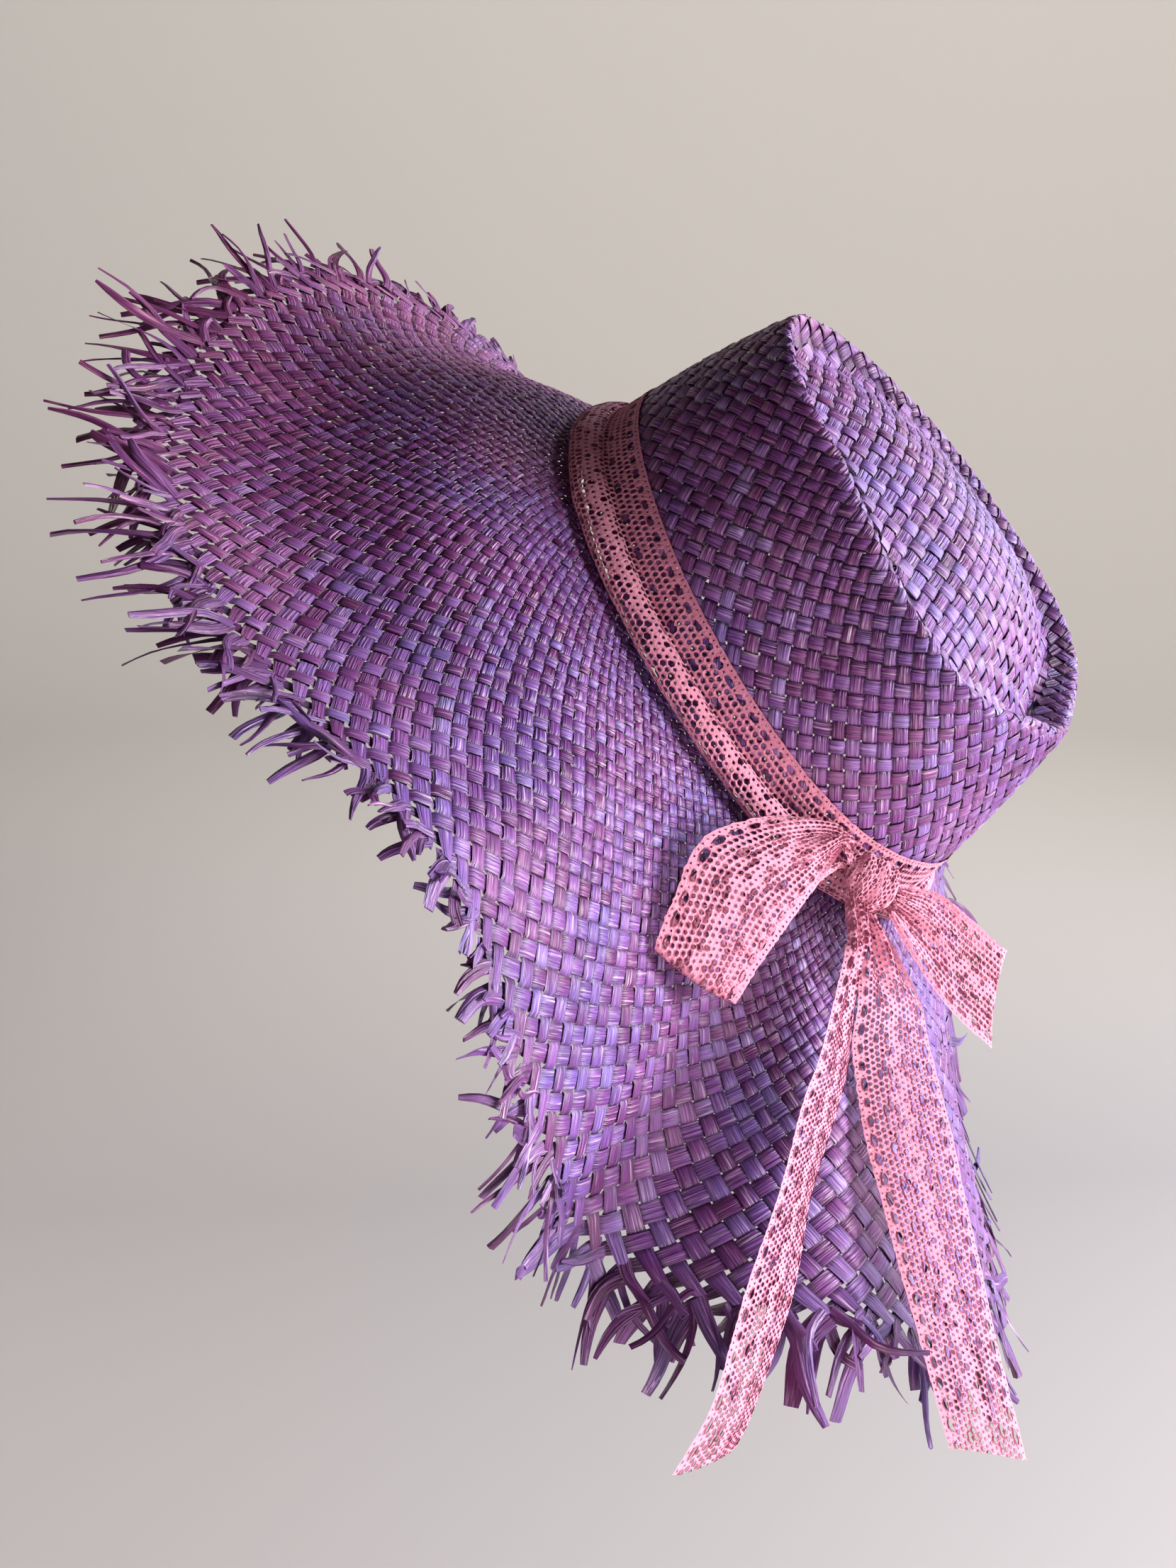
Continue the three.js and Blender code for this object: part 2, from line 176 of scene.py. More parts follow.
def oval_out(azimuth):
    """The way out from the head oval: the ellipse's normal, from its half width and half length."""
    turn = np.radians(azimuth)
    out = np.stack([np.sin(turn) / HEAD_HALF_WIDTH, -np.cos(turn) / HEAD_HALF_LENGTH], -1)
    return out / np.linalg.norm(out, axis=-1, keepdims=True)


def crown_wall(azimuth, share):
    """The crown's side: a line from the head oval (share 0) to the ridge (share 1), swollen by a sine."""
    turn = np.radians(azimuth)
    ridge = around(RIDGE, "radius", azimuth) * share
    swell = 1 + WALL_BULGE * np.sin(np.pi * np.clip(share, 0, 1))
    x = (HEAD_HALF_WIDTH * (1 - share) + ridge) * np.sin(turn) * swell
    y = -(HEAD_HALF_LENGTH * (1 - share) + ridge) * np.cos(turn) * swell
    return np.stack([x, y, around(RIDGE, "height", azimuth) * share], -1)


def tip_height(azimuth, inward):
    """Height of the crown's tip: the ridge, a ditch of the form q times e to the (1 - q), then a dome."""
    ridge = around(RIDGE, "height", azimuth)
    reach = inward / DITCH_PLACE
    rise = inward**2 * (3 - 2 * inward)
    ditch = around(RIDGE, "ditch", azimuth) * reach * np.exp(1 - reach)
    return ridge + (DOME_HEIGHT - ridge) * rise - ditch


def crown_tip(azimuth, inward):
    """The tip in polar form: inward runs from the ridge (0) to the middle (1)."""
    turn = np.radians(azimuth)
    radius = around(RIDGE, "radius", azimuth) * (1 - inward)
    return np.stack([radius * np.sin(turn), -radius * np.cos(turn), tip_height(azimuth, inward)], -1)


def crown(azimuth, climb):
    """The wall (climb 0 to 1), then the tip, rolled over by a mean of places above and below."""
    def folded(place):
        on_wall = crown_wall(azimuth, np.minimum(place, 1))
        on_tip = crown_tip(azimuth, np.maximum(place - 1, 0))
        return np.where((place <= 1)[..., None], on_wall, on_tip)

    step = around(RIDGE, "roll", azimuth) / WALL_HEIGHT
    rolled = sum(weight * folded(climb + count * step) for count, weight in ROLL_WEIGHTS.items())
    return rolled / sum(ROLL_WEIGHTS.values())


print("ridge at the front:", crown(np.zeros(1), np.ones(1)).round(1).tolist())

# %% [markdown]
# The brim is one wide sheet of weave that droops by its own weight, more in some places than in others.
# In each radial section it is an arc from one slope at the root to another at the edge, with a soft sag
# between them. The tilt then leans the whole hat back.

# %% Brim shape and tilt
TILT_BACK = math.radians(55)
STRAIGHT = 1e-4


def brim(azimuth, share):
    """The brim: an arc in each radial section, from the root's slope to the edge's slope over its width.

    A sine wave of one length across the width sags it: flatter at the root and the edge, steeper between.
    """
    turn = np.radians(azimuth)
    out = oval_out(azimuth)
    width = around(BRIM, "width", azimuth)
    root = np.radians(around(BRIM, "root_droop", azimuth))
    bend = np.radians(around(BRIM, "edge_droop", azimuth)) - root
    bend = np.where(np.abs(bend) < STRAIGHT, STRAIGHT, bend)
    slope = root + bend * share
    wave = width * np.radians(around(BRIM, "sag", azimuth)) / (2 * np.pi) * np.sin(2 * np.pi * share)
    reach = width * (np.sin(slope) - np.sin(root)) / bend + wave * np.sin(slope)
    drop = width * (np.cos(root) - np.cos(slope)) / bend - wave * np.cos(slope)
    x = HEAD_HALF_WIDTH * np.sin(turn) + reach * out[..., 0]
    y = -HEAD_HALF_LENGTH * np.cos(turn) + reach * out[..., 1]
    return np.stack([x, y, -drop], -1)


def tilted(points):
    """Turns points about X from the hat's upright frame to the way it is worn."""
    x, y, z = np.moveaxis(np.asarray(points, float), -1, 0)
    cosine, sine = math.cos(TILT_BACK), math.sin(TILT_BACK)
    return np.stack([x, y * cosine + z * sine, -y * sine + z * cosine], -1)


print("brim edge, front and left:", brim(np.array([0.0, 90.0]), np.ones(2)).round(1).tolist())

# %% [markdown]
# Every piece here is a mesh of four-cornered faces made from whole arrays, and one helper puts the arrays
# into Blender. It leaves out points that no face uses, shades smoothly, and keeps sharp only the edges that
# fold hard. Values that a material will read, such as how far along a strip a point lies, go in as named
# attributes.

# %% From arrays to a piece
SHARP_FOLD = math.radians(50)


def unit(vectors):
    """Vectors of length one."""
    return vectors / np.linalg.norm(vectors, axis=-1, keepdims=True)


def make_piece(name, points, quads, stands_for, attributes):
    """A mesh object from points in millimetres and quads of point numbers, which rides on the hat."""
    used, corners = np.unique(np.asarray(quads).ravel(), return_inverse=True)
    mesh = bpy.data.meshes.new(name)
    mesh.vertices.add(len(used))
    mesh.vertices.foreach_set("co", (np.asarray(points)[used] * MM).astype(np.float32).ravel())
    mesh.loops.add(len(corners))
    mesh.loops.foreach_set("vertex_index", corners.astype(np.int32).ravel())
    mesh.polygons.add(len(corners) // 4)
    mesh.polygons.foreach_set("loop_start", np.arange(0, len(corners), 4, dtype=np.int32))
    for label, values in attributes.items():
        kind, field = ("FLOAT_VECTOR", "vector") if values.ndim == 2 else ("FLOAT", "value")
        attribute = mesh.attributes.new(label, kind, "POINT")
        attribute.data.foreach_set(field, values[used].astype(np.float32).ravel())
    mesh.update(calc_edges=True)
    mesh.validate()
    mesh.shade_smooth()
    mesh.set_sharp_from_angle(angle=SHARP_FOLD)
    piece = bpy.data.objects.new(name, mesh)
    bpy.context.scene.collection.objects.link(piece)
    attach(piece, "root")
    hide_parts(*stands_for)
    print(f"{name}: {2 * len(mesh.polygons)} triangles")
    return piece


print(f"edges stay sharp past {math.degrees(SHARP_FOLD):.0f} degrees")

# %% [markdown]
# A strip of raffia is a split leaf: flat, thin, softly creased along its length, with clean edges.
# It could be a plane with a bump map, but then its edges would cast no shadow and the pinholes between
# strips would let no light through. So each strip is a thin closed body: six points across, carried along
# a path. Each point also gets a crest value, 1 where the leaf lies open and less at its edges and where it
# dives under another strip; the material paints shade where the crest is low and a little light where it is
# high.

# %% Raffia strips
STRIP_ACROSS = np.array([-1.0, -0.55, 0.5, 1.0, 0.6, -0.6])
STRIP_RISE = np.array([-0.2, 0.13, 0.13, -0.2, -0.32, -0.32])
CREASED = np.array([False, True, True, False, False, False])
# Painted light kept at each point across: full on top, less at the edges, least underneath; the rest is
# painted shade.
PAINTED_LIGHT_SHARE = np.array([0.55, 1.0, 1.0, 0.55, 0.2, 0.2])
STRIP_NUMBERS = 1000


def strip_points(centre, normal, sideways, half_low, half_high, lift, tilt, crease):
    """Points of many strips: centre + sideways * (across * half width) + normal * (lift + rise + roll).

    Arrays are strips by samples. A strip may reach further to one side than to the other, and each crease
    raises or lowers one of the two lines that run along its upper face.
    """
    half = np.where(STRIP_ACROSS < 0, half_low[..., None], half_high[..., None])
    across = STRIP_ACROSS * half
    rise = lift[..., None] + STRIP_RISE + np.tan(tilt)[..., None] * across
    rise[..., CREASED] += crease
    beside = sideways[:, :, None] * across[..., None]
    return centre[:, :, None] + beside + normal[:, :, None] * rise[..., None], across


def strip_quads(keep):
    """Faces of closed strips, for the samples that are kept: sides, and a cap at each end."""
    strips, samples = keep.shape
    corners = len(STRIP_ACROSS)
    index = np.arange(strips * samples * corners).reshape(strips, samples, corners)
    here, there = index[:, :-1], index[:, 1:]
    sides = np.stack([here, there, np.roll(there, -1, axis=2), np.roll(here, -1, axis=2)], -1)
    joined = keep[:, :-1] & keep[:, 1:]
    blank = np.zeros((strips, 1), bool)
    after = np.concatenate([joined, blank], axis=1)
    before = np.concatenate([blank, joined], axis=1)
    first, last = index[after & ~before], index[before & ~after]
    caps = [first[:, [0, 1, 2, 3]], first[:, [0, 3, 4, 5]], last[:, [3, 2, 1, 0]], last[:, [5, 4, 3, 0]]]
    return np.concatenate([sides[joined].reshape(-1, 4), *caps])


def strip_arrays(points, across, height, keep, rng):
    """One family's points, faces, fibre coordinates (mm along, mm across, number), dye tone and crest.

    Crest is 1 on the open back of a strip and falls to 0 at its edges and where it dives (height 0); it
    sets the material's painted shade.
    """
    strips = len(keep)
    steps = np.linalg.norm(np.diff(points.mean(axis=2), axis=1), axis=-1)
    along = np.concatenate([np.zeros((strips, 1)), np.cumsum(steps, axis=1)], axis=1)
    number = rng.uniform(0, STRIP_NUMBERS, (strips, 1, 1)) + 0 * across
    fibre = np.stack([along[..., None] + 0 * across, across, number], -1)
    tone = rng.random((strips, 1, 1)) + 0 * across
    # Crest sets the painted shade: low at the edges, underneath and where a strip dives.
    crest = np.clip(height, 0, 1)[..., None] * PAINTED_LIGHT_SHARE
    return points.reshape(-1, 3), strip_quads(keep), fibre.reshape(-1, 3), tone.ravel(), crest.ravel()


def raffia_piece(name, families, stands_for):
    """Joins families of strips into one piece."""
    starts = np.cumsum([0] + [len(points) for points, *_ in families])
    points = np.concatenate([family[0] for family in families])
    quads = np.concatenate([family[1] + start for family, start in zip(families, starts)])
    fibre, tone, crest = (np.concatenate([family[part] for family in families]) for part in (2, 3, 4))
    attributes = {"fibre": fibre, "tone": tone, "crest": crest}
    return make_piece(name, tilted(points), quads, stands_for, attributes)


print(f"a strip has {len(STRIP_ACROSS)} points across and is about {np.ptp(STRIP_RISE):.2f} mm thick")

# %% [markdown]
# The weave itself. On the crown's wall and on the brim the strips are spirals that cross every radius at
# 45 degrees. Strips should also lie about evenly along a ring of the hat, although the hat isn't round, so
# the azimuth is first spaced out along such a ring. On the brim they lie a little closer together at the
# front left.

# %% Spacing strips round a surface
PLACE_STEP = 0.004
TURN_STEP = 0.3
CROWD_AT = 25.0


def slopes(surface, azimuth, place):
    """How fast a surface moves, in mm, for each unit of place and for each radian of azimuth."""
    out = surface(azimuth, place + PLACE_STEP) - surface(azimuth, place - PLACE_STEP)
    turn = surface(azimuth + TURN_STEP, place) - surface(azimuth - TURN_STEP, place)
    return out / (2 * PLACE_STEP), turn / (2 * math.radians(TURN_STEP))


def evenly_round(surface, place, crowd=0.0):
    """The same surface with its azimuth spaced out, so that equal turns are equal runs along one ring.

    With crowd, strips lie closer than the mean by that share at the front left, and wider apart opposite.
    """
    azimuth = np.arange(0, 361, 1.0)
    ring = surface(azimuth, place + 0 * azimuth)
    closeness = 1 + crowd * np.cos(np.radians(azimuth[1:] - CROWD_AT))
    run = np.concatenate([[0], np.cumsum(np.linalg.norm(np.diff(ring, axis=0), axis=1) * closeness)])
    even = 360 * run / run[-1]

    def spaced(turn, at):
        laps, rest = np.divmod(turn, 360.0)
        return surface(np.interp(rest, even, azimuth) + 360 * laps, at)
    return spaced, lambda turn: np.interp(np.mod(turn, 360.0), even, azimuth)


even_crown, _ = evenly_round(crown, place=0.6)
even_brim, true_azimuth = evenly_round(brim, place=0.75, crowd=0.18)
print("a quarter of the brim's strips end at azimuth", true_azimuth(np.array([90.0])).round(1).tolist())

# %% [markdown]
# If m is the sum of (step outwards / radius) from the start, a strip is simply azimuth = first azimuth + m
# in one family and azimuth = first azimuth - m in the other. Two strips then meet where m is half the
# difference of their first azimuths, so every crossing is known, and a strip rises at one crossing and dips
# at the next. Only a few samples are needed: a flat stretch at each crossing and one half way to the next.

# %% Crossings
FLAT_STRETCH = (-0.35, 0.35)


def crossing_samples(meet, flats=FLAT_STRETCH):
    """Samples for each crossing: shares of the gap in its flat stretch, then half way to the next one."""
    gap = np.diff(meet, axis=1)
    gap_after = np.concatenate([gap, gap[:, -1:]], axis=1)
    gap_before = np.concatenate([gap[:, :1], gap], axis=1)
    samples = [meet + share * (gap_before if share < 0 else gap_after) for share in (*flats, 0.5)]
    return np.stack(samples, -1).reshape(len(meet), -1)[:, :-1]


def crossing_values(values, between, flats=FLAT_STRETCH):
    """One value for each crossing, spread over its samples; between scales the sample half way."""
    spread = np.stack([values] * len(flats) + [values * between], -1)
    return spread.reshape(len(values), -1)[:, :-1]


print("samples for each crossing:", len(FLAT_STRETCH) + 1)

# %% [markdown]
# One function weaves both families on any surface. No two strips of leaf are alike, so places, widths,
# lifts, rolls and creases each vary a little, drawn from a seeded generator so that every run gives the
# same hat.

# %% Spiral weave
WEAVE_ROWS = 121
RING_STEP = 6.0
PLACE_JITTER = 0.13
CROSSING_LIFT = 0.5
LIFT_RANGE = (0.75, 1.2)
TUCK_REACH = 1.5
LOOSE_REACH = 2.2
OVER_PINCH = 0.06
PINCH_BETWEEN = 0.35
WIDTH_SPREAD = 0.025
ROLL_SPREAD = 0.05
ROLL_BETWEEN = 0.5
CREASE_SPREAD = 0.1
CREASE_WANDER = 0.07


def spiral_weave(surface, facing, strands, start, stop, seed, fill, flats=FLAT_STRETCH,
                 sink_stop=0.0, loosen=0.0):
    """Both families of a spiral weave between two places of a surface, and where their strips end.

    A strip's six section points lie on neighbouring spirals, so it bends with the surface, and each is
    raised along the surface's normal. Strips can sink at the stop, to tuck under others, or grow narrow
    and loose there.
    """
    rng = np.random.default_rng(seed)
    pitch = 2 * np.pi / strands
    rows = np.linspace(start, stop, WEAVE_ROWS)
    ring = np.arange(0, 360, RING_STEP)
    out, turn = slopes(surface, *np.meshgrid(ring, rows))
    ratio = (np.linalg.norm(out, axis=-1) / np.linalg.norm(turn, axis=-1)).mean(axis=1)
    steps = (ratio[1:] + ratio[:-1]) / 2 * np.diff(rows)
    spiral_rows = np.concatenate([[0], np.cumsum(steps)])
    total = spiral_rows[-1]
    levels = np.arange(int(total / (pitch / 2)) + 1)
    strand = np.arange(strands)
    first = [(strand + rng.uniform(-PLACE_JITTER, PLACE_JITTER, strands)) * pitch for _ in range(2)]
    families, ends = [], []
    for family, way in enumerate((1, -1)):
        # Where each strip meets the strips of the other family, and how high it lies there.
        mine, other = first[family], first[1 - family]
        laps, partner = np.divmod(strand[:, None] + way * levels, strands)
        meet = way * (other[partner] + 2 * np.pi * laps - mine[:, None]) / 2
        spiral = np.clip(crossing_samples(meet, flats), 0, total)
        spiral[:, -1] = total
        over = np.where(levels % 2 == family, 1.0, -1.0) * rng.uniform(*LIFT_RANGE, meet.shape)
        lift = CROSSING_LIFT * crossing_values(over, 0.0, flats)
        lift = lift - sink_stop * np.clip(1 - (total - spiral) / (TUCK_REACH * pitch), 0, 1)

        # The path of its middle line, and how far apart neighbouring strips are.
        azimuth = np.degrees(mine[:, None] + way * spiral)
        place = np.interp(spiral, spiral_rows, rows)
        out, turn = slopes(surface, azimuth, place)
        along = unit(out / np.interp(place, rows, ratio)[..., None] + way * turn)
        normal = facing * unit(np.cross(turn, out))
        spacing = np.sum(turn * np.cross(normal, along), axis=-1)
        side = np.sign(spacing.mean())

        # Its width: half the gap to each neighbour, less where it is loose or pinched.
        loose = 1 - loosen * np.clip(1 - (total - spiral) / (LOOSE_REACH * pitch), 0, 1)
        pinch = crossing_values(np.where(over > 0, OVER_PINCH, 0.0), PINCH_BETWEEN, flats)
        share = fill[family] * (1 + rng.normal(0, WIDTH_SPREAD, (strands, 1))) * loose * (1 - pinch)
        gaps = np.diff(np.concatenate([[mine[-1] - 2 * np.pi], mine, [mine[0] + 2 * np.pi]])) / 2
        half = np.where(side * STRIP_ACROSS > 0, gaps[1:, None, None], gaps[:-1, None, None])
        half = half * share[..., None]
        shift = side * STRIP_ACROSS * half
        across = STRIP_ACROSS * half * np.abs(spacing)[..., None]

        # Its six lines of points, each on its own spiral of the surface.
        wide_azimuth = azimuth[..., None] + np.degrees(shift / 2)
        wide_place = np.interp(spiral[..., None] - way * shift / 2, spiral_rows, rows)
        wide_out, wide_turn = slopes(surface, wide_azimuth, wide_place)
        tilt = np.tan(crossing_values(rng.normal(0, ROLL_SPREAD, meet.shape), ROLL_BETWEEN, flats))
        rise = lift[..., None] + STRIP_RISE + tilt[..., None] * across
        crease = rng.normal(0, CREASE_SPREAD, (strands, 1, 2))
        rise[..., CREASED] += crease + rng.normal(0, CREASE_WANDER, (*lift.shape, 2))
        wide_normal = facing * unit(np.cross(wide_turn, wide_out))
        points = surface(wide_azimuth, wide_place) + wide_normal * rise[..., None]
        height = 0.5 + lift / (2 * CROSSING_LIFT)
        families.append(strip_arrays(points, across, height, np.ones(lift.shape, bool), rng))
        ends.append({
            "azimuth": azimuth[:, -1],
            "centre": surface(azimuth[:, -1], place[:, -1]),
            "normal": normal[:, -1],
            "outward": unit(out[:, -1]),
            "along": along[:, -1],
            "half_low": np.abs(across[:, -1, 0]),
            "half_high": np.abs(across[:, -1, 3]),
        })
    edge_turn = slopes(surface, ring, 0 * ring + stop)[1]
    cell = np.linalg.norm(edge_turn, axis=-1).mean() * pitch / math.sqrt(2)
    print(f"{strands} strips each way, {len(levels)} crossings long, {cell:.1f} mm wide at the end")
    return families, ends


# %% [markdown]
# The crown's wall and the brim are two such weaves. A weaver adds strips as the brim grows, and here the
# brim simply starts with more of them, and they grow wider. The wall's strips run over the ridge and sink
# behind it. The brim's two families are separate pieces, so that neither has too many faces.

# %% Crown wall and brim
CROWN_STRANDS = 68
CROWN_FILL = (0.86, 0.91)
CROWN_FLATS = (-0.37, 0.0, 0.37)
CROWN_FOOT = 0.01
FOLD_INWARD = 0.11
TUCK = 1.1
BRIM_STRANDS = 128
BRIM_FILL = (0.94, 0.95)
EDGE_LOOSEN = 0.22

crown_families, _ = spiral_weave(
    even_crown, facing=1, strands=CROWN_STRANDS, start=CROWN_FOOT, stop=1 + FOLD_INWARD, seed=1,
    fill=CROWN_FILL, flats=CROWN_FLATS, sink_stop=TUCK,
)
crown_weave = raffia_piece("crown_weave", crown_families, ["crown"])
brim_families, brim_ends = spiral_weave(
    even_brim, facing=-1, strands=BRIM_STRANDS, start=0.0, stop=1.0, seed=2,
    fill=BRIM_FILL, loosen=EDGE_LOOSEN,
)
brim_pieces = [
    raffia_piece("brim_weave_left_hand", brim_families[:1], ["brim"]),
    raffia_piece("brim_weave_right_hand", brim_families[1:], ["brim"]),
]

# %% [markdown]
# The tip of the crown is where such a hat is begun: a flat square of plain weave, which is then shaped.
# Its strips are straight lines in plan, laid over the dome and down into the ditch behind the ridge.
# They stop in the ditch, where the strips of the wall come over the ridge and tuck under them.

# %% Crown tip
TIP_CELL = 5.7
TIP_REACH = 100.0
TIP_TURN = math.radians(20)
TIP_EDGE = 0.075
TIP_LIFT = 0.3
PLAN_STEP = 0.5


def tip_plan(x, y):
    """The tip over a plan point: its height in polar form, at the point's azimuth and share inward."""
    azimuth = np.degrees(np.arctan2(x, -y))
    inward = 1 - np.hypot(x, y) / around(RIDGE, "radius", azimuth)
    return np.stack([x, y, tip_height(azimuth, np.clip(inward, 0, 1))], -1), inward


def tip_weave(seed):
    """Two families of straight strips at right angles in plan, over and under like a chessboard."""
    rng = np.random.default_rng(seed)
    count = int(2 * TIP_REACH / TIP_CELL)
    strand = np.arange(count)
    middle = strand - count / 2
    first = [(middle + rng.uniform(-PLACE_JITTER, PLACE_JITTER, count)) * TIP_CELL for _ in range(2)]
    families = []
    for family in range(2):
        mine, other = first[family], first[1 - family]
        meet = np.tile(other, (count, 1))
        turn = TIP_TURN + family * np.pi / 2
        ahead = np.array([math.cos(turn), math.sin(turn)])
        beside = np.array([-math.sin(turn), math.cos(turn)])
        side = mine if family == 0 else -mine
        plan = crossing_samples(meet)[..., None] * ahead + side[:, None, None] * beside
        centre, inward = tip_plan(plan[..., 0], plan[..., 1])
        step_on, _ = tip_plan(*np.moveaxis(plan + PLAN_STEP * ahead, -1, 0))
        step_aside, _ = tip_plan(*np.moveaxis(plan + PLAN_STEP * beside, -1, 0))
        along = unit(step_on - centre)
        normal = unit(np.cross(along, step_aside - centre))
        sideways = np.cross(normal, along)
        parity = (strand[:, None] + strand[None, :] + family) % 2
        over = np.where(parity == 0, 1.0, -1.0) * rng.uniform(*LIFT_RANGE, meet.shape)
        lift = CROSSING_LIFT * crossing_values(over, 0.0) + TIP_LIFT
        places = np.concatenate([[side[0] - (side[1] - side[0])], side, [2 * side[-1] - side[-2]]])
        gaps = np.abs(np.diff(places) / 2) * CROWN_FILL[family]
        before, after = gaps[:-1, None] + 0 * lift, gaps[1:, None] + 0 * lift
        half_low, half_high = (before, after) if family == 0 else (after, before)
        tilt = crossing_values(rng.normal(0, ROLL_SPREAD, meet.shape), ROLL_BETWEEN)
        crease = rng.normal(0, CREASE_SPREAD, (count, 1, 2))
        crease = crease + rng.normal(0, CREASE_WANDER, (*lift.shape, 2))
        points, across = strip_points(centre, normal, sideways, half_low, half_high, lift, tilt, crease)
        height = 0.5 + (lift - TIP_LIFT) / (2 * CROSSING_LIFT)
        families.append(strip_arrays(points, across, height, inward > TIP_EDGE, rng))
    return families


tip_piece = raffia_piece("crown_tip_weave", tip_weave(seed=7), ["crown"])

# %% [markdown]
# The fringe: past the woven edge every strip runs on for a few centimetres.
# It was split with a nail into slivers that turn outwards, bend, roll up and droop, each a little
# differently, and neighbours lean together in clusters. A sliver's heading starts along its strip and
# swings towards straight out, with a bend, a lift and a droop that grow with the distance. Adding up equal
# steps along the heading gives its path, so its length stays true.

# %% Fringe
SLIVERS = 3
CUT_JITTER = 0.15
SLIVER_SAMPLES = 9
SLIVER_OVERLAP = 5.0
LENGTH_RANGE = (0.25, 1.05)
SWING_PACE = 2.5
SWING_RANGE = (-0.2, 0.95)
LEAN = 0.45
LEAN_CLUSTERS = (23, 41)
BEND_SPREAD = 0.4
CURL = 0.2
CURL_STARTS = (0, 6.3)
RISE_SPREAD = 0.45
RISE_RANGE = (-1.0, 0.35)
DROOP_RANGE = (0.1, 0.6)
TWIST_SPREAD = 0.6
TWIST_GROWTH = 1.3
SLIVER_SPREAD = 2.1
TAPER = 0.4
POINT_RANGE = (0.0, 1.2)
POINT_GROWTH = 4
STACK = 0.6
ROLL_PACE = 3
ROLL_RANGE = (-0.3, 0.45)
# The crest of every sliver, which sets its painted shade.
FRINGE_CREST = 0.6
DOWN = np.array([0.0, math.sin(TILT_BACK), -math.cos(TILT_BACK)])


def sliver_headings(end, azimuth, sideways, out, rng):
    """The way each sliver runs: along its strip, swung outwards, bent sideways, lifted and drooping."""
    count = len(azimuth)
    turn = np.radians(azimuth)
    swing = np.clip(SWING_PACE * out, 0, 1) * rng.uniform(*SWING_RANGE, (count, 1))
    lean = sum(LEAN * np.sin(clusters * turn + clusters) for clusters in LEAN_CLUSTERS)[:, None]
    bend = (lean + rng.normal(0, BEND_SPREAD, (count, 1))) * out
    bend = bend + CURL * np.sin(2 * np.pi * out + rng.uniform(*CURL_STARTS, (count, 1)))
    rise = rng.normal(0.0, RISE_SPREAD, (count, 1)).clip(*RISE_RANGE) * np.sqrt(out)
    droop = rng.uniform(*DROOP_RANGE, (count, 1)) * out
    heading = (1 - swing)[..., None] * end["along"][:, None] + swing[..., None] * end["outward"][:, None]
    heading = heading + bend[..., None] * sideways[:, None] + rise[..., None] * end["normal"][:, None]
    return unit(heading + droop[..., None] * DOWN)


def fringe_family(ends, rng):
    """All slivers of one family of strip ends, as arrays of strips by samples."""
    end = {label: np.repeat(values, SLIVERS, axis=0) for label, values in ends.items()}
    count = len(end["azimuth"])
    out = np.linspace(0, 1, SLIVER_SAMPLES)[None, :]
    azimuth = true_azimuth(end["azimuth"])
    length = SLIVER_OVERLAP + around(FRINGE, "length", azimuth) * rng.uniform(*LENGTH_RANGE, count)
    sideways = np.cross(end["normal"], end["along"])
    heading = sliver_headings(end, azimuth, sideways, out, rng)
    cuts = np.arange(1, SLIVERS) / SLIVERS
    cuts = cuts + rng.uniform(-CUT_JITTER, CUT_JITTER, (count // SLIVERS, SLIVERS - 1))
    bounds = np.concatenate([0 * cuts[:, :1], cuts, 0 * cuts[:, :1] + 1], axis=1)
    low, high = bounds[:, :-1].ravel(), bounds[:, 1:].ravel()
    whole = end["half_low"] + end["half_high"]
    first = end["centre"] + sideways * (whole * (low + high) / 2 - end["half_low"])[:, None]
    step = length[:, None, None] / (SLIVER_SAMPLES - 1)
    path = first[:, None] - SLIVER_OVERLAP * end["along"][:, None] + np.cumsum(step * heading, axis=1)
    flat = unit(np.cross(end["normal"][:, None], heading))
    normal = np.cross(heading, flat)
    twist = rng.normal(0, TWIST_SPREAD, (count, 1)) * out**TWIST_GROWTH
    turned = np.cos(twist)[..., None] * flat + np.sin(twist)[..., None] * normal
    normal = np.cross(heading, turned)
    taper = SLIVER_SPREAD - TAPER * out - rng.uniform(*POINT_RANGE, (count, 1)) * out**POINT_GROWTH
    half = (whole * (high - low) / 2)[:, None] * taper
    lift = rng.uniform(-STACK, STACK, (count, 1)) + 0 * half
    roll = rng.uniform(*ROLL_RANGE, (count, 1)) * half * np.clip(ROLL_PACE * out, 0, 1)
    crease = roll[..., None] + rng.normal(0, CREASE_SPREAD, (*half.shape, 2))
    points, across = strip_points(path, normal, turned, half, half, lift, 0 * half, crease)
    return strip_arrays(points, across, FRINGE_CREST + 0 * half, np.ones(half.shape, bool), rng)


fringe_rng = np.random.default_rng(11)
fringe_families = [fringe_family(ends, fringe_rng) for ends in brim_ends]
fringe = raffia_piece("brim_fringe_straw", fringe_families, ["brim_fringe"])

# %% [markdown]
# The ribbon is cotton bobbin lace, 36 mm wide: a net of small six-sided holes, a row of long slots near
# each edge, and a dense zigzag trail down the middle. One repeat of six stitches, 14.4 mm long, is charted
# here, a letter for each stitch. An equals sign is the dense edge and a hash the dense trail, s is
# a small hole, o a net hole and O a wide one. Angle brackets are the two halves of a slot near the edge,
# and round brackets those of a longer slot in the net.

# %% Lace chart
LACE_WIDTH = 36.0
STITCH_LONG = 2.4
STITCH_WIDE = 2.25
CHART = [
    "======",
    "<>=<>=",
    "oooooo",
    "oosooo",
    "oo()oo",
    "OOoooo",
    "##OOoO",
    "####O#",
    "#O####",
    "OoO##O",
    "oooOOo",
    "()oooo",
    "soooos",
    "oooooo",
    "=<>=<>",
    "======",
]
HOLE_SHARE = {
    "=": 0.26, "#": 0.38, "s": 0.46, "o": 0.6, "O": 0.84,
    "<": 0.86, ">": 0.5, "(": 0.92, ")": 0.5,
}
print(f"one repeat: {len(CHART)} rows of stitches, {len(CHART[0]) * STITCH_LONG:.1f} mm long")

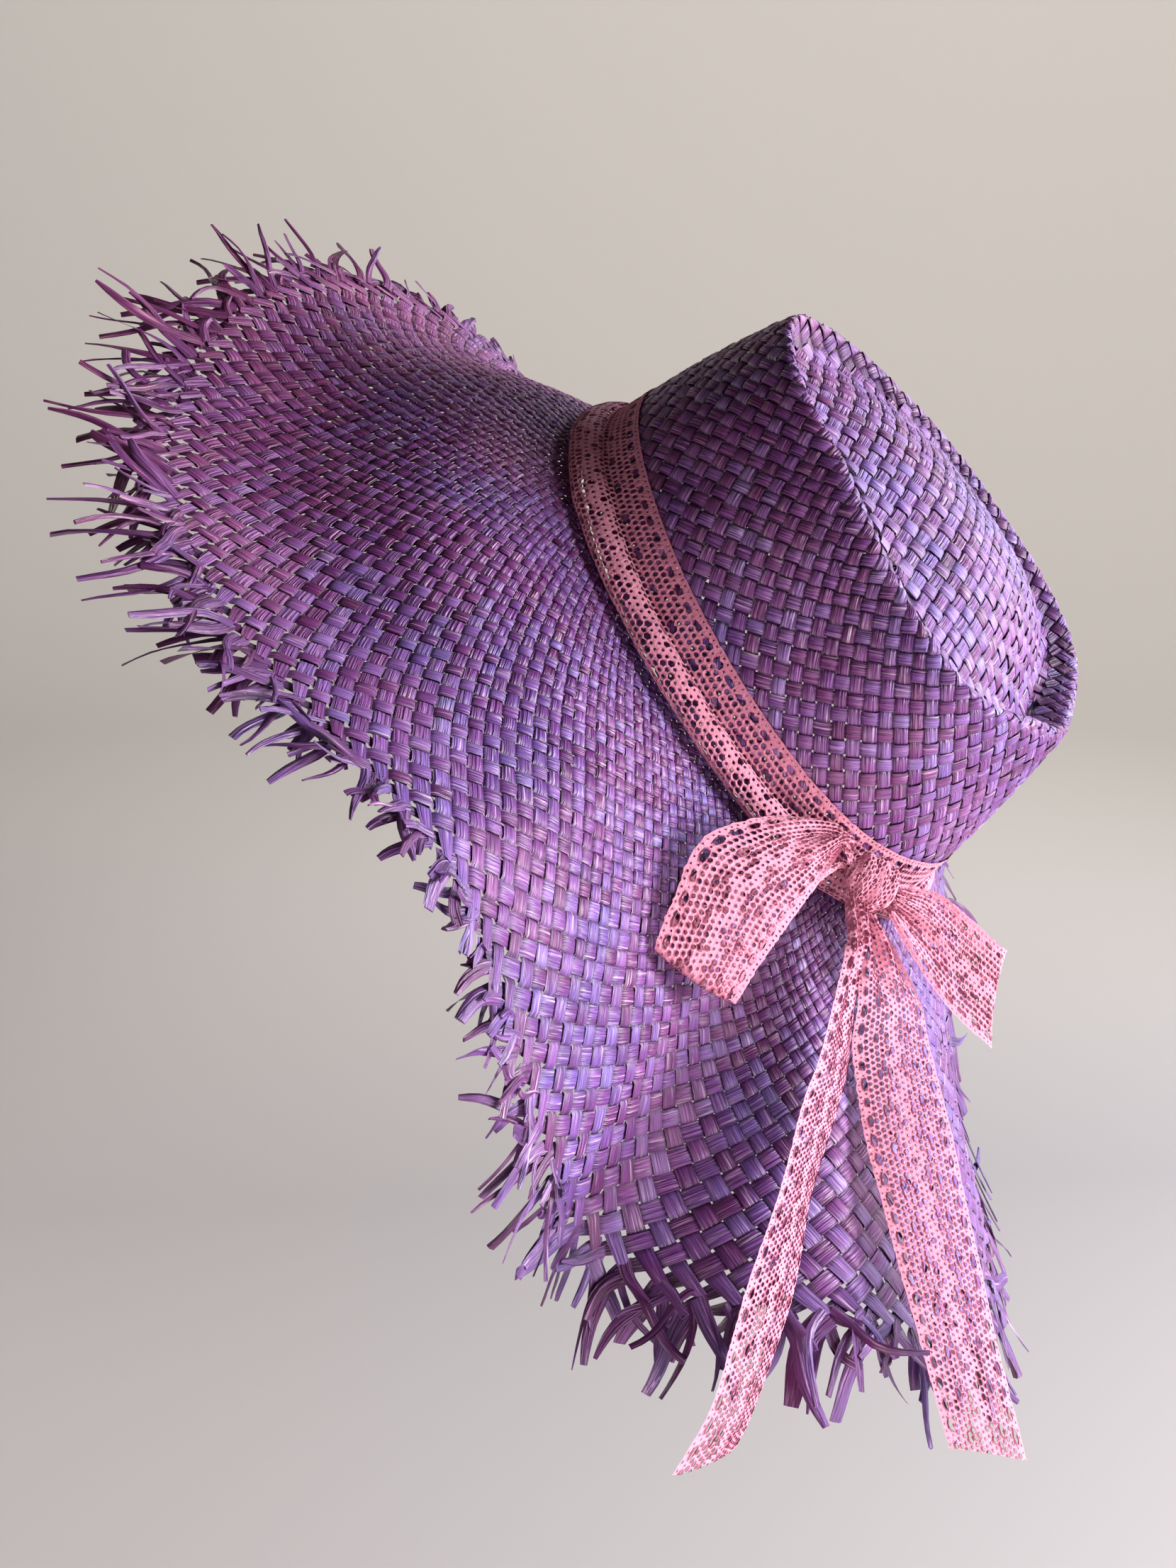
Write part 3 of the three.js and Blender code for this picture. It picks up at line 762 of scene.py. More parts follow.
# %% [markdown]
# Holes in a picture would be flat, so each stitch is a real hole. Stitches sit like bricks, and their rows
# zigzag, which makes a honeycomb. Round each hole go two rings of points: a rim that is part of the thread,
# and the hole's own edge, which lies deeper, so the threads stand proud and round. Each hole differs a
# little in size and shape, as threads do when they are drawn up by hand.

# %% Lace net
HOLE_DEPTH = 0.5
FULL_DEPTH_SHARE = 0.5
HOLE_STRETCH = 1.1
HOLE_SPREAD = 0.12
HOLE_SPREAD_RANGE = (-0.4, 0.12)
RIM_SPREAD = 0.1
# Each ring's crest value sets how much painted shade the lace material puts there.
RIM_RINGS = [
    {"spread": 1.25, "depth": 0.4, "crest": 0.6},
    {"spread": 1.0, "depth": 1.0, "crest": 0.0},
]
HONEYCOMB = 0.34
STITCH_SLACK = np.array([0.15, 0.15, 0.06])
SINGLE_RING = [(0, 0), (1, 0), (2, 0), (2, 1), (1, 1), (0, 1)]
SLOT_RING = [(0, 0), (1, 0), (2, 0), (3, 0), (4, 0), (4, 1), (3, 1), (2, 1), (1, 1), (0, 1)]


def stitch_rings(row, column, size, ring, half_steps, seed):
    """Point numbers round each stitch, and the places of its hole: an ellipse about its middle.

    Every other row is moved by half a stitch. A ring is given in half stitches along and rows across.
    """
    rng = np.random.default_rng(seed)
    corner = np.asarray(ring)
    along = 2 * column[:, None] + row[:, None] % 2 + corner[:, 0]
    across = row[:, None] + corner[:, 1]
    numbers = across * half_steps + along
    reach = corner[:, 0].max() / 2
    angle = (corner[:, 0] / reach - 1) * np.pi / 3
    way = np.stack([np.sin(angle), (2.0 * corner[:, 1] - 1) * np.cos(angle)], -1)
    half = np.array([reach * STITCH_LONG / 2 * HOLE_STRETCH, STITCH_WIDE / 2])
    middle_along = (2 * column + row % 2 + reach) * STITCH_LONG / 2
    middle = np.stack([middle_along, (row + 0.5) * STITCH_WIDE], -1)
    wobble = 1 + rng.normal(0, HOLE_SPREAD, (len(row), 1, 1)).clip(*HOLE_SPREAD_RANGE)
    wobble = wobble + rng.normal(0, RIM_SPREAD, (len(row), len(ring), 1))
    return numbers, middle[:, None] + way * half * size[:, None, None] * wobble


def net_points(half_steps, rng):
    """The corners of all stitches: a grid whose rows zigzag, apart from the two straight edges."""
    row, step = np.mgrid[0:len(CHART) + 1, 0:half_steps]
    zigzag = HONEYCOMB * np.where((step + row) % 2 == 0, 1, -1)
    zigzag[[0, -1]] = 0
    grid = np.stack([step * STITCH_LONG / 2, row * STITCH_WIDE + zigzag, 0.0 * row], -1).reshape(-1, 3)
    return grid + rng.normal(0, 1, grid.shape) * STITCH_SLACK


def lace_net(length, seed):
    """A flat ribbon of lace: points (mm along, across, up), faces, and 1 on threads down to 0 at holes."""
    rng = np.random.default_rng(seed)
    columns = int(round(length / STITCH_LONG))
    half_steps = 2 * columns + 3
    chart = np.array([list(line) for line in CHART])
    row, column = (part.ravel() for part in np.mgrid[0:len(CHART), 0:columns])
    letter = chart[row, column % chart.shape[1]]
    opens = np.isin(letter, ["<", "("]) & (column < columns - 1)
    joins = np.isin(letter, [">", ")"]) & (column > 0)
    size = np.vectorize(HOLE_SHARE.get)(letter)
    grid = net_points(half_steps, rng)
    points, faces, thread = [grid], [], [np.ones(len(grid))]
    count = len(grid)
    for chosen, ring in ((~opens & ~joins, SINGLE_RING), (opens, SLOT_RING)):
        before, hole = stitch_rings(row[chosen], column[chosen], size[chosen], ring, half_steps, seed + 1)
        deepest = HOLE_DEPTH * np.clip(size[chosen] / FULL_DEPTH_SHARE, 0, 1)
        middle = hole.mean(axis=1, keepdims=True)
        for rim in RIM_RINGS:
            after = count + np.arange(before.size).reshape(before.shape)
            low = -rim["depth"] * deepest[:, None, None] + 0 * hole[..., :1]
            rim_place = middle + rim["spread"] * (hole - middle)
            points.append(np.concatenate([rim_place, low], -1).reshape(-1, 3))
            thread.append(np.full(before.size, rim["crest"]))
            count += before.size
            corners = [before, np.roll(before, -1, axis=1), np.roll(after, -1, axis=1), after]
            faces.append(np.stack(corners, -1).reshape(-1, 4))
            before = after
    points = np.concatenate(points)
    points[:, 0] *= length / (columns * STITCH_LONG)
    return points, np.concatenate(faces), np.concatenate(thread)


def lace_piece(name, length, place, stands_for, seed):
    """Lays a flat ribbon on a surface: place gives point and normal for shares along and across."""
    flat, quads, thread = lace_net(length, seed)
    share_along = np.clip(flat[:, 0] / length, 0, 1)
    share_across = flat[:, 1] / LACE_WIDTH
    point, normal = place(share_along, share_across)
    cloth = np.stack([flat[:, 0], flat[:, 1], 0 * thread + seed], -1)
    attributes = {"cloth": cloth, "thread": thread}
    return make_piece(name, point + normal * flat[:, 2:], quads, stands_for, attributes)


print(f"stitches of {STITCH_LONG} by {STITCH_WIDE} mm, threads {HOLE_DEPTH} mm deep")

# %% [markdown]
# The band lies round the foot of the crown. The ribbon is wider than the space, so it is pushed into a
# fold: from its top edge it lies on the straw, rolls out into a soft ridge, and its lower edge rests out on
# the brim. It could be draped by a simulation, but the fold is set by tying. So one section, a smooth curve
# through a few points, is carried round the crown, and small waves make it cloth.

# %% Lace band
BAND_SECTION = {
    "stand_off": [1.2, 1.2, 1.4, 1.6, 4.4, 7.6, 8.8, 7.6, 5.0, 2.8],
    "height": [26.4, 21.8, 17.2, 12.8, 13.2, 11.4, 8.0, 4.6, 3.0, 2.6],
}
BAND_START = 157.0
BAND_WAVES = [
    {"size": 0.5, "count": 9, "shift": 0.3},
    {"size": 0.35, "count": 17, "shift": 2.1},
    {"size": 0.25, "count": 31, "shift": 4.0},
]
WAVE_OUT = 0.9
WAVE_UP = 0.5
TOP_STAND_OFF = 1.2
DIFFERENCE = 0.004


def through(values, share):
    """A smooth open curve through values at equal shares: cubics between neighbours, with chord slopes."""
    values = np.asarray(values, float)
    padded = np.concatenate([2 * values[:1] - values[1:2], values, 2 * values[-1:] - values[-2:-1]])
    place = np.clip(share, 0, 1) * (len(values) - 1)
    index = np.minimum(place.astype(int), len(values) - 2)
    t = (place - index).reshape(place.shape + (1,) * (values.ndim - 1))
    v0, v1, v2, v3 = (padded[index + step] for step in range(4))
    return cubic(t, v1, v2, (v2 - v0) / 2, (v3 - v1) / 2)


def with_normals(surface):
    """Turns a surface of two shares into point and normal, by small differences along and across."""
    def place(along, across):
        step_along = surface(along + DIFFERENCE, across) - surface(along - DIFFERENCE, across)
        step_across = surface(along, across + DIFFERENCE) - surface(along, across - DIFFERENCE)
        return surface(along, across), unit(np.cross(step_across, step_along))
    return place


def band_surface(along, across):
    """The band's section carried round the crown; waves move it outwards, least at its top edge."""
    azimuth = BAND_START + 360 * along
    turn = np.radians(azimuth)
    wave = sum(ripple["size"] * np.sin(ripple["count"] * turn + ripple["shift"]) for ripple in BAND_WAVES)
    stand_off = through(BAND_SECTION["stand_off"], across) + wave * np.clip(across, 0, 1) * WAVE_OUT
    height = through(BAND_SECTION["height"], across) + WAVE_UP * wave * np.sin(np.pi * across)
    slope = np.tan(np.radians(around(BRIM, "root_droop", azimuth)))
    wall = crown_wall(azimuth, np.maximum(height, 0) / around(RIDGE, "height", azimuth))
    out = oval_out(azimuth) * stand_off[..., None]
    drop = slope * np.maximum(stand_off - TOP_STAND_OFF, 0)
    return tilted(np.stack([wall[..., 0] + out[..., 0], wall[..., 1] + out[..., 1], height - drop], -1))


BAND_LENGTH = 2 * np.pi * math.sqrt((HEAD_HALF_WIDTH**2 + HEAD_HALF_LENGTH**2) / 2)
band = lace_piece("lace_band_cloth", BAND_LENGTH, with_normals(band_surface), ["lace_band"], seed=20)
print(f"the band is {BAND_LENGTH:.0f} mm long")

# %% [markdown]
# The bow. Each loop and tail is given by the ribbon's two edges at a few places, from the knot outwards, in
# millimetres of the shared frame. Between the edges the lace bows slightly, and near the knot, where the
# edges come close together, the spare width is taken up in pleats: waves across the ribbon, as high as the
# missing width asks for.

# %% Bow ribbons
LEFT_LOOP = {
    "upper": [(60, 58, -50), (62, 54, -43), (79, 45, -36), (97, 35, -34), (115, 25, -38), (128, 21, -54),
              (137, 18, -69), (130, 17, -69), (114, 21, -52), (91, 35, -44), (62, 48, -48), (58, 57, -56)],
    "lower": [(61, 62, -56), (62, 59, -50), (73, 57, -55), (86, 54, -62), (100, 50, -71), (110, 45, -81),
              (118, 40, -92), (112, 39, -91), (97, 43, -76), (80, 51, -63), (61, 57, -58), (57, 59, -63)],
}
RIGHT_LOOP = {
    "upper": [(50, 76.5, -66), (34, 85, -71), (24, 95, -83), (14, 105, -95), (9, 103, -96), (14, 92, -85),
              (22, 82, -75), (46.5, 74, -66)],
    "lower": [(55.5, 73, -73.5), (43, 79, -93), (34, 91, -114), (24, 103, -129), (19, 101, -130),
              (24, 87, -114), (30, 77, -94), (52, 70.5, -73.5)],
}
LEFT_TAIL = {
    "upper": [(68, 61, -66), (80, 66, -76), (94, 69, -83), (118, 70, -106), (133, 69, -119),
              (157, 70, -140), (180, 67, -166), (201, 64, -196), (212, 55, -217)],
    "lower": [(60, 61, -70), (64, 67, -80), (69, 67, -91), (87, 70, -120), (100, 70, -135),
              (124, 70, -154), (148, 72, -181), (170, 67, -212), (178, 64, -222)],
}
RIGHT_TAIL = {
    "upper": [(60.5, 64, -71.5), (59, 64, -81), (62, 65, -92), (65, 66, -107), (73, 67, -120),
              (92, 78, -143), (106, 89, -160), (120, 100, -177), (132, 111, -195), (142, 125, -227)],
    "lower": [(53.5, 66, -76.5), (46, 69.5, -84), (41, 75, -97), (36, 81, -113), (43, 87, -127),
              (66, 102, -148), (78, 111, -167), (92, 121, -185), (103, 130, -205), (115, 145, -241)],
}
EDGE_SAMPLES = 400
EDGE_STEP = 0.01
RIBBON_BOW = 1.5
PLEATS = 2
PLEAT_MOST = 2.4
PLEAT_BELOW = 34
PLEAT_FADE = 12


def ribbon_surface(edges, share_of):
    """upper + (lower - upper) * across, lifted by a bow across it and by pleats where it is narrow."""
    def surface(along, across):
        t = np.interp(along, share_of[0], share_of[1])
        upper, lower = through(edges["upper"], t), through(edges["lower"], t)
        ahead = through(edges["upper"], t + EDGE_STEP) + through(edges["lower"], t + EDGE_STEP)
        behind = through(edges["upper"], t - EDGE_STEP) + through(edges["lower"], t - EDGE_STEP)
        wide = lower - upper
        normal = unit(np.cross(ahead - behind, wide))
        width = np.linalg.norm(wide, axis=-1)
        spare = np.sqrt(np.maximum(LACE_WIDTH**2 - width**2, 0))
        narrow = np.clip((PLEAT_BELOW - width) / PLEAT_FADE, 0, 1)
        height = np.minimum(spare / (4 * PLEATS), PLEAT_MOST) * narrow
        lift = RIBBON_BOW * 4 * across * (1 - across) + height * np.sin(2 * np.pi * PLEATS * across)
        return upper + wide * across[..., None] + normal * lift[..., None]
    return surface


def ribbon_piece(node, edges, seed):
    """The lace that stands for a node, between two edge curves, its stitches even along the middle line."""
    t = np.linspace(0, 1, EDGE_SAMPLES)
    middle = (through(edges["upper"], t) + through(edges["lower"], t)) / 2
    run = np.concatenate([[0], np.cumsum(np.linalg.norm(np.diff(middle, axis=0), axis=1))])
    length = run[-1]
    surface = ribbon_surface(edges, (run / length, t))
    print(f"{node} is {length:.0f} mm of ribbon")
    return lace_piece(f"{node}_lace", length, with_normals(surface), [node], seed), length


loop_left, loop_left_length = ribbon_piece("bow_loop_left", LEFT_LOOP, seed=30)
loop_right, loop_right_length = ribbon_piece("bow_loop_right", RIGHT_LOOP, seed=40)
tail_left, tail_left_length = ribbon_piece("ribbon_tail_left", LEFT_TAIL, seed=50)
tail_right, tail_right_length = ribbon_piece("ribbon_tail_right", RIGHT_TAIL, seed=60)

# %% [markdown]
# The knot is one turn of the ribbon wound round the middle of the bow and drawn tight.
# It is a flattened barrel, closed in at both ends, with pleats that run round it at a slant.

# %% Knot
KNOT_CENTRE = np.array([56, 67.2, -63.4])
KNOT_WAY = np.array([-15.0, 19.0, -19.0])
KNOT_LOOK = np.array([0.89, 0.39, 0.24])
KNOT_HALF_LENGTH = 9.5
KNOT_RADIUS = 10.0
KNOT_SKIN = 0.5
KNOT_FLATTEN = 0.56
KNOT_TAPER = 0.3
KNOT_CLOSING = 0.25
KNOT_CLOSING_FROM = 0.8
KNOT_CLOSING_SPAN = 0.2
KNOT_PLEATS = 3.0
KNOT_PLEAT_HEIGHT = 0.7
knot_axis = unit(KNOT_WAY)
knot_side = unit(np.cross(knot_axis, KNOT_LOOK))
knot_face = np.cross(knot_side, knot_axis)


def knot_surface(along, across):
    """A barrel: the angle runs with along, the axis with across. Pleats are a wave that slants round."""
    angle = 2 * np.pi * along
    axial = 2 * across - 1
    closing = np.clip(np.abs(axial) - KNOT_CLOSING_FROM, 0, 1) / KNOT_CLOSING_SPAN
    barrel = 1 - KNOT_TAPER * axial**2 - KNOT_CLOSING * closing
    pleat = KNOT_PLEAT_HEIGHT * np.sin(2 * np.pi * KNOT_PLEATS * across + 2 * angle)
    radius = (KNOT_RADIUS - KNOT_SKIN) * barrel + pleat
    ring = np.cos(angle)[..., None] * knot_side + KNOT_FLATTEN * np.sin(angle)[..., None] * knot_face
    return KNOT_CENTRE + knot_axis * (KNOT_HALF_LENGTH * axial)[..., None] + ring * radius[..., None]


KNOT_LENGTH = 2 * np.pi * KNOT_RADIUS * math.sqrt((1 + KNOT_FLATTEN**2) / 2)
knot = lace_piece("bow_knot_lace", KNOT_LENGTH, with_normals(knot_surface), ["bow_knot"], seed=70)
print(f"one turn round the knot takes {KNOT_LENGTH:.0f} mm")

# %% [markdown]
# Materials are built from nodes in code. One small function turns a hex colour into the linear values that
# a shader works in, and another adds one node with its settings and links. Patterns are given in
# millimetres: a noise of scale 1 has features about one unit long, so a place divided by a size gives
# features of that size.

# %% Helpers for materials
HEX_PLACES = (1, 3, 5)


def linear(colour):
    """A hex colour such as #6b4a94 as linear red, green, blue and alpha, by the sRGB curve."""
    value = np.array([int(colour[i:i + 2], 16) for i in HEX_PLACES]) / 255
    bright = np.where(value <= 0.04045, value / 12.92, ((value + 0.055) / 1.055) ** 2.4)
    return (*(float(part) for part in bright), 1.0)


def add(tree, kind, inputs=None, gives=None, **settings):
    """Adds one node, sets its properties and inputs, and returns it, or the one output that it gives."""
    node = tree.nodes.new(kind)
    for name, value in settings.items():
        setattr(node, name, value)
    for name, value in (inputs or {}).items():
        if isinstance(value, bpy.types.NodeSocket):
            tree.links.new(value, node.inputs[name])
        else:
            node.inputs[name].default_value = value
    return node if gives is None else node.outputs[gives]


def new_material(name):
    """An empty node material and its output node."""
    material = bpy.data.materials.new(name)
    material.use_nodes = True
    material.node_tree.nodes.clear()
    return material, material.node_tree, material.node_tree.nodes.new("ShaderNodeOutputMaterial")


print("a middle grey in linear light:", round(linear("#808080")[0], 3))

# %% [markdown]
# Dyed raffia: strips of palm leaf, boiled in violet dye and dried flat.
# Every strip took the dye differently, so the colour changes from strip to strip and slowly along each one,
# from aubergine to lavender, with patches of blue violet and mauve, and a few bits stayed straw coloured.
# A tint over the whole hat makes the front of the brim plum and the back violet: partly the dye's own
# drift, partly painted shade on the front. One colour ramp gives the dyes, and three mixes and a tint over
# it give the rest.

# %% Raffia dye
DYES = [(0.0, "#481344"), (0.28, "#632562"), (0.55, "#734083"), (0.8, "#80609f"), (1.0, "#9c8bb9")]
BLUE_DYE = "#524b92"
MAUVE_DYE = "#8e5a8a"
UNDYED = "#c9b4c4"
BACK_TINT = "#f4f4fb"
# Darker and pinker at the front: partly dye, partly painted shade.
FRONT_DYE_AND_SHADE_TINT = "#fac4d2"
FRONT_WAY = (0.0, -math.cos(TILT_BACK), math.sin(TILT_BACK))
TINT_RANGE = {"From Min": 0.02, "From Max": 0.2}
TONE_SHARE = 0.5
DYE_OFFSET = -0.24
DYE_PATCH = 0.05
CAST_DRIFT = 0.6
BLUE_RANGE = {"From Min": 0.8, "From Max": 1.02, "To Max": 0.5}
MAUVE_RANGE = {"From Min": 0.78, "From Max": 0.55, "To Max": 0.6}
BARE_LONG = 16.0
BARE_WIDE = 0.9
BARE_RANGE = {"From Min": 0.6, "From Max": 0.8, "To Max": 0.85}


def fibre_noise(tree, long, wide, detail):
    """Noise on the fibre coordinates of a strip, with features so many mm long and wide."""
    fibre = add(tree, "ShaderNodeAttribute", gives="Vector", attribute_name="fibre")
    scale = (1 / long, 1 / wide, 1.0)
    place = add(tree, "ShaderNodeMapping", {"Vector": fibre, "Scale": scale}, gives="Vector")
    return add(tree, "ShaderNodeTexNoise", {"Vector": place, "Scale": 1.0, "Detail": detail}, gives="Fac")


def dye_colour(tree, drift):
    """The dye: a ramp at (tone * share + drift), mixed with blue, mauve and straw, then tinted."""
    tone = add(tree, "ShaderNodeAttribute", gives="Fac", attribute_name="tone")
    drifted = add(tree, "ShaderNodeMath", {0: drift, 1: DYE_OFFSET}, gives="Value", operation="ADD")
    place = add(tree, "ShaderNodeMath", {0: tone, 1: TONE_SHARE, 2: drifted}, gives="Value",
                operation="MULTIPLY_ADD")
    dye = add(tree, "ShaderNodeValToRGB", {"Fac": place})
    stops = dye.color_ramp.elements
    for share, _ in DYES[1:-1]:
        stops.new(share)
    for stop, (share, colour) in zip(stops, DYES):
        stop.position = share
        stop.color = linear(colour)
    where = add(tree, "ShaderNodeTexCoord", gives="Object")
    region = add(tree, "ShaderNodeTexNoise", {"Vector": where, "Scale": 1 / DYE_PATCH, "Detail": 2.0},
                 gives="Fac")
    cast = add(tree, "ShaderNodeMath", {0: drift, 1: CAST_DRIFT, 2: region}, gives="Value",
               operation="MULTIPLY_ADD")
    bare = fibre_noise(tree, BARE_LONG, BARE_WIDE, 1.0)
    front = add(tree, "ShaderNodeVectorMath", {0: where, 1: FRONT_WAY}, gives="Value",
                operation="DOT_PRODUCT")
    layers = [(cast, BLUE_RANGE, BLUE_DYE), (cast, MAUVE_RANGE, MAUVE_DYE), (bare, BARE_RANGE, UNDYED)]
    mixed = dye.outputs["Color"]
    for guide, reach, colour in layers:
        share = add(tree, "ShaderNodeMapRange", {"Value": guide, **reach}, gives="Result")
        mixed = add(tree, "ShaderNodeMix", {"Factor": share, "A": mixed, "B": linear(colour)},
                    gives="Result", data_type="RGBA")
    # Towards the front the colour is multiplied by a darker, pinker tint: partly dye, partly painted shade.
    forward = add(tree, "ShaderNodeMapRange", {"Value": front, **TINT_RANGE}, gives="Result")
    tints = {"Factor": forward, "A": linear(BACK_TINT), "B": linear(FRONT_DYE_AND_SHADE_TINT)}
    tint = add(tree, "ShaderNodeMix", tints, gives="Result", data_type="RGBA")
    return add(tree, "ShaderNodeMix", {"Factor": 1.0, "A": mixed, "B": tint}, gives="Result",
               data_type="RGBA", blend_type="MULTIPLY")


print("dyes:", [colour for _, colour in DYES])

# %% [markdown]
# Fibres run along the leaf and give it fine streaks and ribs, and the waxy skin gives small highlights on
# the creases. Painted shade darkens a strip's edges and dives, and painted light brightens its open back.
# The real fibres are a tenth of a millimetre wide, too fine to show, so the streaks are drawn about half a
# millimetre wide and the creases about one.

# %% Dyed raffia
DYE_RUN = 40.0
DYE_WIDE = 30.0
STREAK_LONG = 14.0
STREAK_WIDE = 0.5
STREAK_SHADE = {"From Min": 0.25, "From Max": 0.75, "To Min": 0.38, "To Max": 1.56}
# Painted shading: a strip's open back lighter, its edges and dives darker.
PAINTED_SHADING_RANGE = {"To Min": 0.4, "To Max": 1.2}
CREASE_LONG = 22.0
CREASE_WIDE = 1.1
CREASE_WEIGHT = 2.4
FIBRE_RELIEF = 0.0006
RELIEF_STRENGTH = 0.8
LEAF_ROUGHNESS = {"To Min": 0.32, "To Max": 0.55}
LEAF_IOR = 1.48
LEAF_SHINE = 0.68


def dyed_raffia():
    """The dye times (streak shade * painted shade and light from the crest), with relief from creases and
    streaks, and a waxy skin.
    """
    material, tree, output = new_material("dyed_raffia")
    drift = fibre_noise(tree, DYE_RUN, DYE_WIDE, 2.0)
    streak = fibre_noise(tree, STREAK_LONG, STREAK_WIDE, 3.0)
    crease = fibre_noise(tree, CREASE_LONG, CREASE_WIDE, 2.0)
    crest = add(tree, "ShaderNodeAttribute", gives="Fac", attribute_name="crest")
    shade = add(tree, "ShaderNodeMapRange", {"Value": streak, **STREAK_SHADE}, gives="Result")
    # Painted shade and light from the crest: lighter on a strip's open back, darker at its edges and where
    # it dives.
    worn = add(tree, "ShaderNodeMapRange", {"Value": crest, **PAINTED_SHADING_RANGE}, gives="Result")
    value = add(tree, "ShaderNodeMath", {0: shade, 1: worn}, gives="Value", operation="MULTIPLY")
    colour = add(tree, "ShaderNodeHueSaturation", {"Color": dye_colour(tree, drift), "Value": value},
                 gives="Color")
    height = add(tree, "ShaderNodeMath", {0: crease, 1: CREASE_WEIGHT, 2: streak}, gives="Value",
                 operation="MULTIPLY_ADD")
    ribs = {"Height": height, "Strength": RELIEF_STRENGTH, "Distance": FIBRE_RELIEF}
    relief = add(tree, "ShaderNodeBump", ribs, gives="Normal")
    roughness = add(tree, "ShaderNodeMapRange", {"Value": streak, **LEAF_ROUGHNESS}, gives="Result")
    shader = add(tree, "ShaderNodeBsdfPrincipled", {
        "Base Color": colour,
        "Roughness": roughness,
        "IOR": LEAF_IOR,
        "Specular IOR Level": LEAF_SHINE,
        "Normal": relief,
    }, gives="BSDF")
    tree.links.new(shader, output.inputs["Surface"])
    return material


def finish_pieces(pieces, material):
    """Gives one material to several pieces."""
    for piece in pieces:
        piece.data.materials.append(material)
    print(material.name, "on", [piece.name for piece in pieces])


finish_pieces([crown_weave, tip_piece, fringe, *brim_pieces], dyed_raffia())

# %% [markdown]
# Cotton bobbin lace: soft twisted thread dyed pink, with no shine and a little fuzz.
# The thread is under half a millimetre thick. Its twist shows as a fine mottle, and the sides of each
# thread, which turn away into a hole, get a painted shade deeper than its crest. The pink itself drifts a
# little.

# %% Cotton lace
LACE_CREST = "#d78aa0"
# Painted shade on the sides of the threads, at each hole's rim.
LACE_PAINTED_SHADE = "#873a5c"
LACE_PALE = "#da94a8"
PALE_LONG = 18
PALE_WIDE = 9
THREAD_TWIST = 0.7
TWIST_SHARE = 0.5
FADE_RANGE = {"From Min": 0.3, "From Max": 1.05}
THREAD_RELIEF = 0.0004
COTTON_ROUGHNESS = 0.85
COTTON_IOR = 1.5
COTTON_FUZZ = 0.2
FUZZ_ROUGHNESS = 0.5


def cotton_lace():
    """Pink with painted shade that deepens from a thread's crest to the hole's rim, mottled at the size of
    its twist.
    """
    material, tree, output = new_material("cotton_lace")
    cloth = add(tree, "ShaderNodeAttribute", gives="Vector", attribute_name="cloth")
    crest = add(tree, "ShaderNodeAttribute", gives="Fac", attribute_name="thread")
    twist_place = add(tree, "ShaderNodeMapping", {"Vector": cloth, "Scale": (1 / THREAD_TWIST,) * 3},
                      gives="Vector")
    twist = add(tree, "ShaderNodeTexNoise", {"Vector": twist_place, "Scale": 1.0, "Detail": 2.0},
                gives="Fac")
    slow_scale = (1 / PALE_LONG, 1 / PALE_WIDE, 1.0)
    slow_place = add(tree, "ShaderNodeMapping", {"Vector": cloth, "Scale": slow_scale}, gives="Vector")
    slow = add(tree, "ShaderNodeTexNoise", {"Vector": slow_place, "Scale": 1.0, "Detail": 1.0},
               gives="Fac")
    top = add(tree, "ShaderNodeMix", {"Factor": slow, "A": linear(LACE_CREST), "B": linear(LACE_PALE)},
              gives="Result", data_type="RGBA")
    mottle = add(tree, "ShaderNodeMath", {0: twist, 1: TWIST_SHARE, 2: crest}, gives="Value",
                 operation="MULTIPLY_ADD")
    fade = add(tree, "ShaderNodeMapRange", {"Value": mottle, **FADE_RANGE}, gives="Result")
    # Painted shade: the thread's colour falls to the deep pink towards each hole's rim.
    colour = add(tree, "ShaderNodeMix", {"Factor": fade, "A": linear(LACE_PAINTED_SHADE), "B": top},
                 gives="Result", data_type="RGBA")
    relief = add(tree, "ShaderNodeBump", {"Height": twist, "Strength": 1.0, "Distance": THREAD_RELIEF},
                 gives="Normal")
    shader = add(tree, "ShaderNodeBsdfPrincipled", {
        "Base Color": colour,
        "Roughness": COTTON_ROUGHNESS,
        "IOR": COTTON_IOR,
        "Sheen Weight": COTTON_FUZZ,
        "Sheen Roughness": FUZZ_ROUGHNESS,
        "Normal": relief,
    }, gives="BSDF")
    tree.links.new(shader, output.inputs["Surface"])
    return material


finish_pieces([band, knot, loop_left, loop_right, tail_left, tail_right], cotton_lace())

# %% [markdown]
# The ribbon is cloth, so each length prints what it was before it was tied: 36 mm wide and its own length,
# and how it is held.


def say_cloth(piece, length, held):
    """Prints how a length of lace is held, with its flat size."""
    print(f"{piece.name}: {held}, cut from {LACE_WIDTH:.0f} by {length:.0f} mm")


say_cloth(band, BAND_LENGTH, "gathered")
say_cloth(knot, KNOT_LENGTH, "gathered")
say_cloth(loop_left, loop_left_length, "folded")
say_cloth(loop_right, loop_right_length, "folded")
say_cloth(tail_left, tail_left_length, "hung")
say_cloth(tail_right, tail_right_length, "hung")

# %% [markdown]
# The studio is a sheet of pale paper: a floor that sweeps up into a wall all round, so no corner or horizon
# shows from any side. It is a profile turned about the vertical axis, with one flat face in the middle.

# %% Floor
FLOOR_DROP = 0.4
FLOOR_MIDDLE = 0.02
FLOOR_FLAT = 3.0
SWEEP_RADIUS = 1.5
SWEEP_STEPS = 13
WALL_RISE = 2.2
FLOOR_STEPS = 64
FLOOR_COLOUR = "#bbbbb6"
PAPER_ROUGHNESS = 0.9

